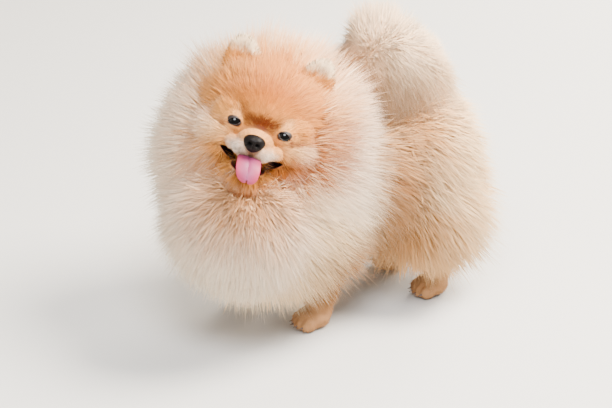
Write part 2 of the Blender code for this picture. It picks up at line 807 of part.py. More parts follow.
def mouth_opening():
    # The open, smiling mouth between the upper lip and the lower jaw, with its corners raised.
    forms = [((0, -0.004, LIP_LEVEL - 0.0035), (0.0160, 0.0300, 0.0068), HEAD)]
    for side in (-1, 1):
        tilt = Matrix.Rotation(math.radians(-side * MOUTH_TILT), 4, "Y")
        place = Matrix.Translation((side * 0.0130, 0, LIP_LEVEL))
        forms.append(((0, 0, 0), (0.0190, 0.0300, 0.0060), HEAD @ place @ tilt))
    return fused_form("mouth", forms, 0.0012, 220)


def under_mane(place):
    # The back of the head, which its locks hide.
    p = HEAD_INVERSE @ place
    return p.y > 0.014 or p.z > 0.024


def build_head(parts, bowl):
    head = fused_form("head", [(c, r, HEAD) for c, r in HEAD_FORMS], 0.0018, 1200, under_mane)
    core_room = grown_copy(head)
    mouth = mouth_opening()
    hide_helper(mouth)
    floor = new_object("floor", ellipsoid((0, 0.004, -0.0375), (0.0110, 0.0230, 0.0050), HEAD, 6, 10))

    jaw = fused_form("jaw", [(c, r, HEAD) for c, r in JAW_FORMS], 0.0018, 260)
    boolean(jaw, core_room, "DIFFERENCE")
    boolean(jaw, mouth, "DIFFERENCE")
    boolean(head, mouth, "DIFFERENCE")
    boolean(floor, core_room, "DIFFERENCE")
    join_pieces(jaw, [floor])

    lick = tongue()
    lick_room = grown_copy(lick)
    boolean(jaw, lick_room, "DIFFERENCE")
    boolean(head, lick_room, "DIFFERENCE")
    boolean(jaw, bowl, "INTERSECT")
    keep_largest(jaw)

    nose = nose_leather()
    nose_room = new_object("nose_room", ellipsoid(NOSE_PLACE, [r + GAP for r in NOSE_RADII], HEAD, 12, 16))
    boolean(head, nose_room, "DIFFERENCE")

    ears = [ear(1, "ear_left"), ear(-1, "ear_right")]
    ear_rooms = [grown_copy(blade) for blade in ears]
    for blade in ears:
        boolean(blade, core_room, "DIFFERENCE")
        keep_largest(blade)
    join_pieces(head, [lid_ring(side) for side in (1, -1)])
    head_coat(head, [bowl], [*ear_rooms, lick_room])
    boolean(head, bowl, "INTERSECT")
    eyes = [eyeball(1, "eye_left"), eyeball(-1, "eye_right")]
    for ball in eyes:
        room = grown_copy(ball)
        boolean(head, room, "DIFFERENCE")
        drop(room)
    keep_largest(head)
    parts += [head, jaw, lick, nose, *ears, *eyes]
    drop(core_room, mouth, lick_room, nose_room, *ear_rooms)


def paw_forms(x, y):
    # The foot's pad and its four toes.
    forms = [((x, y, 0.0100), PAW_RADII, None)]
    for k in (-1.5, -0.5, 0.5, 1.5):
        reach = 0.0120 if abs(k) < 1 else 0.0095
        forms.append(((x + k * 0.0060, y - reach, 0.0070), (0.0042, 0.0075, 0.0072), None))
    return forms


def box(name, low, high):
    bm = bmesh.new()
    bmesh.ops.create_cube(bm, size=1)
    size = Vector(high) - Vector(low)
    bm.transform(Matrix.Translation((Vector(low) + Vector(high)) / 2) @ Matrix.Diagonal((*size, 1)))
    return new_object(name, bm, helper=True)


def leg_form(name, x, y, hind):
    # Shaft and paw melted together, then cut flat where the pads stand on the floor.
    if hind:
        path = ((y - 0.007, 0.100), (y + 0.002, 0.060), (y + 0.001, 0.034), (y - 0.002, 0.014))
        widths = (0.0165, 0.0125, 0.0106, 0.0112)
    else:
        path = ((y, 0.105), (y + 0.001, 0.070), (y, 0.040), (y - 0.001, 0.014))
        widths = (0.0155, 0.0135, SHAFT_RADIUS, 0.0118)
    centres, radii = smooth_path([(x, *p) for p in path], widths, 14)
    forms = [(c, (w, w, w * 1.3), None) for c, w in zip(centres, radii)]
    leg = fused_form(name, forms + paw_forms(x, y - 0.007), 0.0020, 280)
    below = box("below", (x - 0.1, y - 0.1, -0.1), (x + 0.1, y + 0.1, 0))
    boolean(leg, below, "DIFFERENCE")
    drop(below)
    return leg


def build_body(parts):
    forms = [(c, r, HEAD) for c, r in RUFF_FORMS] + [(c, r, None) for c, r in BODY_FORMS]
    body = fused_form("torso", forms, 0.0040, 950)
    core_room = grown_copy(body)

    leg_rooms = []
    for name, x, y in LEGS:
        leg = leg_form(name, x, y, name.startswith("hind"))
        boolean(leg, core_room, "DIFFERENCE")
        keep_largest(leg)
        parts.append(leg)
        profile = ((0, -0.01), (LEG_ROOM, -0.01), (LEG_ROOM, 0.14), (0, 0.14))
        leg_rooms.append(turned(name + "_room", profile, Matrix.Translation((x, y, 0)), 20))

    over, under = saddle_side("over_saddle", True), saddle_side("under_saddle", False)
    centres, radii = smooth_path(TAIL_PATH, TAIL_RADII, 11)
    tail = loft("tail", centres, radii, 10)
    tail_room = grown_copy(tail)
    tail_coat(tail, [over], [core_room])
    boolean(tail, core_room, "DIFFERENCE")
    keep_largest(tail)
    parts.append(tail)

    ahead, behind = ruff_seam_side("ahead_of_seam", False), ruff_seam_side("behind_seam", True)
    bowl_inner, bowl_outer = head_bowl("bowl_inner", -GAP / 2), head_bowl("bowl_outer", GAP / 2)
    neck = new_object("neck", bmesh_of(body))
    boolean(neck, ahead, "INTERSECT")
    boolean(neck, bowl_outer, "DIFFERENCE")
    keep_largest(neck)
    ruff_coat(neck, [ahead, under], [bowl_outer, *leg_rooms])
    boolean(body, behind, "INTERSECT")
    boolean(body, bowl_outer, "DIFFERENCE")
    keep_largest(body)
    torso_coat(body, [behind, under], [bowl_outer, tail_room, *leg_rooms])
    parts += [neck, body]

    build_head(parts, bowl_inner)
    drop(core_room, tail_room, over, under, ahead, behind, bowl_inner, bowl_outer, *leg_rooms)


def bmesh_of(obj):
    bm = bmesh.new()
    bm.from_mesh(obj.data)
    return bm


def settle(parts):
    # The origin goes to the middle of the underside of the whole.
    low, high = Vector((9, 9, 9)), Vector((-9, -9, -9))
    for obj in parts:
        for vert in obj.data.vertices:
            low = Vector(map(min, low, vert.co))
            high = Vector(map(max, high, vert.co))
    shift = Vector((-(low.x + high.x) / 2, -(low.y + high.y) / 2, -low.z))
    for obj in parts:
        obj.data.transform(Matrix.Translation(shift))
    print("size", high - low, "moved by", shift)
    return shift


def finish_looks(parts):
    looks = {
        "coat": coat_material("orange_cream_coat", (0.72, 0.42, 0.22), 0.85),
        "nose": coat_material("nose_leather", (0.02, 0.018, 0.02), 0.4),
        "eye": coat_material("dark_eye", (0.012, 0.007, 0.005), 0.08),
        "tongue": coat_material("tongue", (0.75, 0.26, 0.33), 0.35),
    }
    for obj in parts:
        kind = next((key for key in ("nose", "eye", "tongue") if obj.name.startswith(key)), "coat")
        obj.data.materials.clear()
        obj.data.materials.append(looks[kind])


def main():
    clear_scene()
    parts = []
    build_body(parts)
    for obj in parts:
        weld(obj)
    finish_looks(parts)
    shift = settle(parts)
    for obj in parts:
        print(obj.name, len(obj.data.polygons))
    print("total", sum(len(obj.data.polygons) for obj in parts))
    return shift


SHIFT = main()
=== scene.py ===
import math

import bpy
import numpy as np
from mathutils import Matrix, Vector
from mathutils.kdtree import KDTree


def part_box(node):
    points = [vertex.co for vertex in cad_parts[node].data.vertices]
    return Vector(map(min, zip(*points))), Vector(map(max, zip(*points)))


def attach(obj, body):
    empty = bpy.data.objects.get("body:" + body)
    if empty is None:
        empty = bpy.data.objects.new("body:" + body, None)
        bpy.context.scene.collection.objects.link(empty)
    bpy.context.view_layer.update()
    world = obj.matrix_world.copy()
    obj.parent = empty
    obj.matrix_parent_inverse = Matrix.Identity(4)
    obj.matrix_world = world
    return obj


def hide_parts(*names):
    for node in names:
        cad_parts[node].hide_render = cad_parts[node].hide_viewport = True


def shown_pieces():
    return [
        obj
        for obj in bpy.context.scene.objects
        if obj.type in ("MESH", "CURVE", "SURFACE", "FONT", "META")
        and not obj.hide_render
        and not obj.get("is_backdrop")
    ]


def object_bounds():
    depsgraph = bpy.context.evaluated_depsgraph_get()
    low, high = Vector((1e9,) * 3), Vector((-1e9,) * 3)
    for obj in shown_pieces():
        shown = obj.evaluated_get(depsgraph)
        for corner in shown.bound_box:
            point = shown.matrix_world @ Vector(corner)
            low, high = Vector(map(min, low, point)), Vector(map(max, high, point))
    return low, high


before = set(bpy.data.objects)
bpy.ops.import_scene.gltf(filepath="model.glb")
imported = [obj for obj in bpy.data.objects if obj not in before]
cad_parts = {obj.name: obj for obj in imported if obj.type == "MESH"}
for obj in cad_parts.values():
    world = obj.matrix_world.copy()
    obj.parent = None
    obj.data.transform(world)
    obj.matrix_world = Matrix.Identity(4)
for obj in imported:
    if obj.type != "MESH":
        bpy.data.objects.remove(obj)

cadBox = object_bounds()
bpy.ops.object.select_all(action="DESELECT")
chance = np.random.default_rng(7)

# The head's own frame: x to the dog's left, -y out of the face, z up, with the eyes level at the origin.
# Body places are written as in the part's own design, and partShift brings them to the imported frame.
pose = {
    "yaw": 60, "pitch": -25, "roll": 17.5,  # degrees
    "eyeSpread": 0.0225, "eyeDepth": 0.006, "eyeRadius": 0.008,
    "lidOpening": (0.0056, 0.0033), "lidLean": 17,  # half sizes in metres, outer corner lower in degrees
    "eyeLevelInPart": (0.0508, -0.1154, 0.2133),
    "faceReach": 0.034,  # how far back and aside of the eyes the face goes
}


def turned(degrees, axis):
    return Matrix.Rotation(math.radians(degrees), 3, axis)


headTurn = turned(pose["yaw"], "Z") @ turned(pose["pitch"], "X") @ turned(pose["roll"], "Y")
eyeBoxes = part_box("eye_left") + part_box("eye_right")
eyeLevel = sum(eyeBoxes, Vector()) / 4 - headTurn @ Vector((0, pose["eyeDepth"], 0))
partShift = eyeLevel - Vector(pose["eyeLevelInPart"])
headAxes = np.array(headTurn)
headOrigin = np.array(eyeLevel)


def onHead(place):
    return eyeLevel + headTurn @ Vector(place)


def onBody(place):
    return partShift + Vector(place)


def inHead(places):
    return (places - headOrigin) @ headAxes


def onFace(head):
    return (head[:, 1] < pose["faceReach"]) & (np.abs(head[:, 0]) < pose["faceReach"])


def linearColour(code):
    # sRGB hex to linear light
    parts = np.array([int(code[k:k + 2], 16) / 255 for k in (1, 3, 5)])
    return np.where(parts <= 0.04045, parts / 12.92, ((parts + 0.055) / 1.055) ** 2.4)


def ramp(values, low, high):
    share = np.clip((np.asarray(values, float) - low) / (high - low), 0, 1)
    return share * share * (3 - 2 * share)


def unit(vectors):
    return vectors / np.maximum(np.linalg.norm(vectors, axis=-1, keepdims=True), 1e-9)


def swing(x, z, degrees):
    angle = math.radians(degrees)
    return x * math.cos(angle) - z * math.sin(angle), x * math.sin(angle) + z * math.cos(angle)


# Shaping helpers


def pickOnly(obj):
    bpy.ops.object.select_all(action="DESELECT")
    obj.select_set(True)
    bpy.context.view_layer.objects.active = obj


def addBall(place, radii, turn=Matrix.Identity(3), parts=(32, 16)):
    bpy.ops.mesh.primitive_uv_sphere_add(segments=parts[0], ring_count=parts[1], radius=1)
    ball = bpy.context.object
    ball.matrix_world = Matrix.Translation(place) @ turn.to_4x4() @ Matrix.Diagonal((*radii, 1))
    return ball


def joinAll(name, objs):
    bpy.ops.object.select_all(action="DESELECT")
    for obj in objs:
        obj.select_set(True)
    bpy.context.view_layer.objects.active = objs[0]
    if len(objs) > 1:
        bpy.ops.object.join()
    joined = bpy.context.object
    joined.name = name
    joined.data.name = name
    bpy.ops.object.transform_apply(location=True, rotation=True, scale=True)
    return joined


def applyModifier(obj, kind, **settings):
    pickOnly(obj)
    modifier = obj.modifiers.new(kind.lower(), kind)
    for key, value in settings.items():
        setattr(modifier, key, value)
    bpy.ops.object.modifier_apply(modifier=modifier.name)


def fuse(obj, voxel, rounds):
    applyModifier(obj, "REMESH", mode="VOXEL", voxel_size=voxel, use_smooth_shade=True)
    applyModifier(obj, "SMOOTH", factor=0.5, iterations=rounds)


def combine(obj, other, operation):
    applyModifier(obj, "BOOLEAN", object=other, operation=operation, solver="MANIFOLD")
    bpy.data.objects.remove(other)


def readAll(things, what, width, kind=np.float32):
    # one value of every vertex, corner or triangle
    flat = np.empty(len(things) * width, kind)
    things.foreach_get(what, flat)
    return flat.reshape(-1, width)


def getPoints(obj):
    return readAll(obj.data.vertices, "co", 3).astype(float)


def setPoints(obj, points):
    obj.data.vertices.foreach_set("co", np.asarray(points, np.float32).ravel())
    obj.data.update()


def makeRound(obj):
    pickOnly(obj)
    bpy.ops.object.shade_smooth()


def turnOutwards(obj, merge=0, triangles=False):
    # faces outwards, after points nearer than merge are joined
    pickOnly(obj)
    bpy.ops.object.mode_set(mode="EDIT")
    bpy.ops.mesh.select_all(action="SELECT")
    if merge:
        bpy.ops.mesh.remove_doubles(threshold=merge)
    if triangles:
        bpy.ops.mesh.quads_convert_to_tris()
    bpy.ops.mesh.normals_make_consistent(inside=False)
    bpy.ops.object.mode_set(mode="OBJECT")


# Shading helpers


def addNode(tree, kind, settings=None, links=None):
    node = tree.nodes.new(kind)
    for key, value in (settings or {}).items():
        if isinstance(key, str) and hasattr(node, key):
            setattr(node, key, value)
        else:
            node.inputs[key].default_value = value
    for key, source in (links or {}).items():
        tree.links.new(source, node.inputs[key])
    return node


def newMaterial(name):
    material = bpy.data.materials.new(name)
    material.use_nodes = True
    tree = material.node_tree
    tree.nodes.clear()
    shader = addNode(tree, "ShaderNodeBsdfPrincipled")
    addNode(tree, "ShaderNodeOutputMaterial", links={"Surface": shader.outputs[0]})
    return material, tree, shader


def hexColour(code):
    return (*linearColour(code), 1.0)


def grainMaterial(name, grain, tint=None, blend=None, bump=None, sockets=None):
    # A finish whose colour and relief follow one fine grain. tint is a colour attribute with its tones at
    # the grain's two ends, blend is two colours, and bump is a strength and a depth in metres.
    material, tree, shader = newMaterial(name)
    coords = addNode(tree, "ShaderNodeTexCoord")
    pattern = addNode(tree, *grain, {"Vector": coords.outputs["Object"]})
    if tint:
        shade = addNode(tree, "ShaderNodeVertexColor", {"layer_name": tint[0]})
        span = {"To Min": tint[1], "To Max": tint[2]}
        tone = addNode(tree, "ShaderNodeMapRange", span, {"Value": pattern.outputs[0]})
        both = {0: shade.outputs[0], "Scale": tone.outputs[0]}
        colour = addNode(tree, "ShaderNodeVectorMath", {"operation": "SCALE"}, both).outputs[0]
    else:
        mix = addNode(tree, "ShaderNodeMix", {"data_type": "RGBA"}, {0: pattern.outputs[0]})
        mix.inputs[6].default_value = hexColour(blend[0])
        mix.inputs[7].default_value = hexColour(blend[1])
        colour = mix.outputs[2]
    tree.links.new(colour, shader.inputs["Base Color"])
    if bump:
        depth = {"Strength": bump[0], "Distance": bump[1]}
        relief = addNode(tree, "ShaderNodeBump", depth, {"Height": pattern.outputs[0]})
        tree.links.new(relief.outputs[0], shader.inputs["Normal"])
    for socket, value in (sockets or {}).items():
        shader.inputs[socket].default_value = value
    return material, tree, shader


def dress(obj, material, slotName, *nodes):
    obj.data.materials.clear()
    obj.data.materials.append(material)
    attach(obj, "root")
    if nodes:
        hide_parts(*nodes)


# Camera, floor and light

studio = {
    "target": (0.018, -0.085, 0.16),
    "back": (0.78488557, -0.45315389, 0.42261826),
    "right": (0.5, 0.8660254, 0.0),
    "up": (-0.36599815, 0.21130913, 0.90630779),
    "away": 2.2, "aside": 0.0299, "lower": 0.0343,  # metres from the target
    "lens": 147.06,
    "lights": {  # aside, above and behind the target and width in metres, watts, colour
        "keyLight": (0.95, 1.15, 0.55, 0.9, 122, "#FFF7EC"),
        "fillLight": (-1.5, 0.5, 1.0, 1.4, 8, "#FFF9F2"),
        "rimLight": (0.9, 1.0, -1.1, 0.9, 55, "#FFF7EC"),
        "catchLight": (0.03, 0.58, 1.3, 0.62, 34, "#F4F8FF"),
    },
    "sky": 0.86, "skyColour": "#FBF7F0", "floor": "#DAD7D1",
}
target = onBody(studio["target"])
backAxis, rightAxis, upAxis = (Vector(studio[k]) for k in ("back", "right", "up"))
cameraPlace = target + backAxis * studio["away"] + rightAxis * studio["aside"] - upAxis * studio["lower"]
bpy.ops.object.camera_add(location=cameraPlace)
camera = bpy.context.object
camera.name = "viewCamera"
camera.rotation_mode = "QUATERNION"
camera.rotation_quaternion = Matrix((rightAxis, upAxis, backAxis)).transposed().to_quaternion()
camera.data.lens = studio["lens"]
camera.data.sensor_width = 36
camera.data.clip_start, camera.data.clip_end = 0.05, 30
bpy.context.scene.camera = camera

for name, (aside, above, back, size, power, colour) in studio["lights"].items():
    place = target + rightAxis * aside + upAxis * above + backAxis * back
    bpy.ops.object.light_add(type="AREA", location=place)
    light = bpy.context.object
    light.name = name
    light.rotation_mode = "QUATERNION"
    light.rotation_quaternion = (target - place).to_track_quat("-Z", "Y")
    light.data.shape = "DISK"
    light.data.size = size
    light.data.energy = power
    light.data.color = linearColour(colour)

world = bpy.data.worlds.new("studioWorld")
world.use_nodes = True
sky = world.node_tree.nodes["Background"]
sky.inputs["Color"].default_value = hexColour(studio["skyColour"])
sky.inputs["Strength"].default_value = studio["sky"]
bpy.context.scene.world = world

bpy.ops.mesh.primitive_plane_add(size=9)
floor = bpy.context.object
floor.name = "studioFloor"
floorMaterial, tree, shader = newMaterial("paleFloorPaint")  # matt, so that it shows no highlight
shader.inputs["Base Color"].default_value = hexColour(studio["floor"])
shader.inputs["Roughness"].default_value = 0.9
floor.data.materials.append(floorMaterial)
floor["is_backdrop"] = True
print("stage: camera, floor and lights")

# Skin: the same cores as the part's solids, fused finer and shaped further



def pair(place, radii):
    # the same form on both sides, the dog's left one first
    x, y, z = place
    return ((x, y, z), radii), ((-x, y, z), radii)


# y and z of a leg's middle with its radius, from the top down
forelegPath = ((0, 0.105, 0.0155), (0.001, 0.07, 0.0135), (0, 0.04, 0.012), (-0.001, 0.014, 0.0118))
hindlegPath = ((-0.007, 0.1, 0.0165), (0.002, 0.06, 0.0125), (0.001, 0.034, 0.0106), (-0.002, 0.014, 0.0112))
skinForms = {
    "head": [  # centre and radii on the head's frame
        ((0, 0.038, 0.008), (0.04, 0.04, 0.036)),
        *pair((0.0205, 0.0145, 0.0015), (0.0165, 0.015, 0.015)),
        ((0, 0.015, 0.01), (0.015, 0.0155, 0.015)),
        *pair((0.0225, 0.006, 0.0002), (0.0092, 0.0091, 0.0086)),
        *pair((0.024, 0.026, -0.014), (0.02, 0.024, 0.02)),
        ((0, -0.004, -0.0125), (0.015, 0.0225, 0.011)),
        *pair((0.0072, -0.0108, -0.0186), (0.0098, 0.0124, 0.0078)),
        *pair((0.0128, -0.001, -0.018), (0.0094, 0.013, 0.0074)),
        ((0.001, 0.0005, -0.0432), (0.0094, 0.0145, 0.005)),
        ((0, 0.021, -0.0388), (0.0215, 0.0205, 0.0105)),
        ((0, 0.004, -0.0375), (0.011, 0.023, 0.005)),
    ],
    "ruff": [  # on the head's frame too
        ((0.014, 0.075, -0.016), (0.072, 0.05, 0.068)),
        ((0.006, 0.036, -0.076), (0.042, 0.034, 0.03)),
    ],
    "body": [
        ((0.007, -0.08, 0.118), (0.062, 0.062, 0.062)),
        ((0, -0.03, 0.14), (0.055, 0.06, 0.052)),
        ((0, 0.01, 0.132), (0.052, 0.075, 0.05)),
        ((0, 0.062, 0.138), (0.054, 0.044, 0.055)),
        *pair((0.033, 0.066, 0.096), (0.029, 0.038, 0.046)),
    ],
    "tailPath": [
        ((0, 0.07, 0.165), 0.013), ((0, 0.084, 0.19), 0.013), ((0, 0.076, 0.214), 0.014),
        ((0, 0.054, 0.231), 0.015), ((0, 0.028, 0.234), 0.014), ((0, 0.005, 0.226), 0.01),
    ],
    "legs": [  # x and y of the foot, then the leg's path
        ((0.036, -0.046), forelegPath), ((-0.034, -0.07), forelegPath),
        ((0.034, 0.082), hindlegPath), ((-0.034, 0.082), hindlegPath),
    ],
    # the paw's middle ahead of the foot, a toe's width, and each toe's place in widths aside and metres ahead
    "pawAhead": 0.007, "toeWidth": 0.006,
    "toes": ((-1.5, 0.0095), (-0.5, 0.012), (0.5, 0.012), (1.5, 0.0095)),
    "mouth": [
        ((0, -0.004, -0.0335), (0.016, 0.03, 0.0068), 0),
        ((0.013, 0, -0.0292), (0.0185, 0.03, 0.0042), -28),
        ((-0.013, 0, -0.0292), (0.0185, 0.03, 0.0042), 28),
    ],
    "earBase": (0.0275, 0.042, 0.03), "earTip": (0.038, 0.041, 0.0725),
    "earWidth": 0.0275, "earThickness": 0.0062,
    "headVoxel": 0.001, "legVoxel": 0.0013, "bodyVoxel": 0.003,
}


def ballsAlong(path, count):
    # evenly spread centres with radii between the given stations
    stations = [np.array((*p, r)) for p, r in path]
    balls = []
    for a, b in zip(stations, stations[1:]):
        for k in range(count):
            balls.append(a + (b - a) * k / count)
    return balls + [stations[-1]]


earForms = []
for side in (1, -1):
    earBase, earTip = Vector(skinForms["earBase"]), Vector(skinForms["earTip"])
    earBase.x *= side
    earTip.x *= side
    earForms.append((earBase, earTip, math.atan2(earTip.x - earBase.x, earTip.z - earBase.z)))

headBalls = [addBall(onHead(c), r, headTurn) for c, r in skinForms["head"]]
headSkin = joinAll("skin", headBalls)
fuse(headSkin, skinForms["headVoxel"], 9)
mouthBalls = [addBall(onHead(c), r, headTurn @ turned(a, "Y"), (48, 24)) for c, r, a in skinForms["mouth"]]
mouthCutter = joinAll("mouthCutter", mouthBalls)
fuse(mouthCutter, 0.0008, 3)
combine(headSkin, mouthCutter, "DIFFERENCE")
socketBalls = []
for side in (1, -1):
    middle = onHead((side * pose["eyeSpread"], pose["eyeDepth"] - 0.0085, 0.0002))
    opening = (pose["lidOpening"][0], 0.006, pose["lidOpening"][1])
    socketBalls.append(addBall(middle, opening, headTurn @ turned(pose["lidLean"] * side, "Y"), (48, 24)))
combine(headSkin, joinAll("lidOpenings", socketBalls), "DIFFERENCE")

ears = []
for earBase, earTip, lean in earForms:
    turn = headTurn @ Matrix.Rotation(lean, 3, "Y")
    half = skinForms["earThickness"] / 2
    radii = (skinForms["earWidth"] / 2, half, (earTip - earBase).length * 0.55)
    shell = joinAll("earShell", [addBall(onHead(earBase.lerp(earTip, 0.46)), radii, turn)])
    cupPlace = onHead(earBase.lerp(earTip, 0.56) + Vector((0, -half - 0.0004, 0)))
    cup = addBall(cupPlace, (skinForms["earWidth"] * 0.32, 0.003, 0.0165), turn)
    combine(shell, joinAll("earCup", [cup]), "DIFFERENCE")
    ears.append(shell)
earSkin = joinAll("earSkin", ears)
fuse(earSkin, 0.0008, 2)
combine(headSkin, earSkin, "UNION")

legBalls = []
for (x, y), path in skinForms["legs"]:
    stations = [((x, y + dy, z), r) for dy, z, r in path]
    for *place, r in ballsAlong(stations, 8):
        legBalls.append(addBall(onBody(place), (r, r, r), parts=(24, 12)))
    paw = Vector((x, y - skinForms["pawAhead"], 0.01))
    legBalls.append(addBall(onBody(paw), (0.0132, 0.0165, 0.011)))
    for k, reach in skinForms["toes"]:
        toe = onBody((x + k * skinForms["toeWidth"], paw.y - reach, 0.007))
        legBalls.append(addBall(toe, (0.0042, 0.0075, 0.0072), parts=(24, 12)))
legSkin = joinAll("legSkin", legBalls)
fuse(legSkin, skinForms["legVoxel"], 3)
points = getPoints(legSkin)
points[:, 2] = np.maximum(points[:, 2], 0.0006)  # the soles rest flat
setPoints(legSkin, points)

bodyBalls = [addBall(onBody(c), r) for c, r in skinForms["body"]]
bodyBalls += [addBall(onHead(c), r, headTurn) for c, r in skinForms["ruff"]]
tailCentres = ballsAlong(skinForms["tailPath"], 6)
for *place, r in tailCentres:
    bodyBalls.append(addBall(onBody(place), (r, r, r), parts=(24, 12)))
bodySkin = joinAll("bodySkin", bodyBalls)
fuse(bodySkin, skinForms["bodyVoxel"], 8)

combine(bodySkin, legSkin, "UNION")
combine(headSkin, bodySkin, "UNION")
skin = headSkin
print("stage: skin fused,", len(skin.data.polygons), "faces")

turnOutwards(skin, merge=0.00005, triangles=True)
bpy.ops.object.mode_set(mode="EDIT")
bpy.ops.mesh.select_all(action="SELECT")
bpy.ops.uv.smart_project(angle_limit=math.radians(70), island_margin=0.002)
bpy.ops.object.mode_set(mode="OBJECT")
skin.data.uv_layers[0].name = "OFBake"
makeRound(skin)
print("stage: skin unwrapped")

# Markings: one rule of place that colours both the skin and the coat

regions = ["head", "ruff", "body", "tail", "leg", "ear"]


def formDistance(places, centre, radii, axes):
    # about how far outside an ellipsoid each place lies, in metres
    local = (places - np.array(centre)) @ axes
    return (np.linalg.norm(local / np.array(radii), axis=1) - 1) * float(np.mean(radii))


def regionDistances(places):
    upright, local = np.eye(3), inHead(places)
    table = {name: [] for name in regions}
    for name in ("head", "ruff"):
        table[name] = [formDistance(places, onHead(c), r, headAxes) for c, r in skinForms[name]]
    table["body"] = [formDistance(places, onBody(c), r, upright) for c, r in skinForms["body"]]
    table["tail"] = [formDistance(places, onBody(s[:3]), (s[3],) * 3, upright) for s in tailCentres[2:]]
    for (x, y), path in skinForms["legs"]:
        flat = np.hypot(places[:, 0] - onBody((x, y, 0)).x, places[:, 1] - onBody((x, y - 0.004, 0)).y)
        high = np.maximum(places[:, 2] - 0.062, 0)
        table["leg"].append(np.maximum(flat - 0.024, 0) + high)
    for earBase, earTip, lean in earForms:
        axis = earTip - earBase
        along = np.clip((local - np.array(earBase)) @ np.array(axis) / axis.length_squared, 0.3, 1)
        spot = np.array(earBase) + along[:, None] * np.array(axis)
        table["ear"].append(np.linalg.norm(local - spot, axis=1) - 0.0125)
    return np.stack([np.min(table[name], axis=0) for name in regions], axis=1)


def regionShares(places):
    far = regionDistances(places)
    far -= far.min(axis=1, keepdims=True)
    shares = np.exp(-far / 0.004)
    return shares / shares.sum(axis=1, keepdims=True)


def mouthDistance(places):
    forms = [(onHead(c), r, np.array(headTurn @ turned(a, "Y"))) for c, r, a in skinForms["mouth"]]
    return np.min([formDistance(places, *form) for form in forms], axis=0)


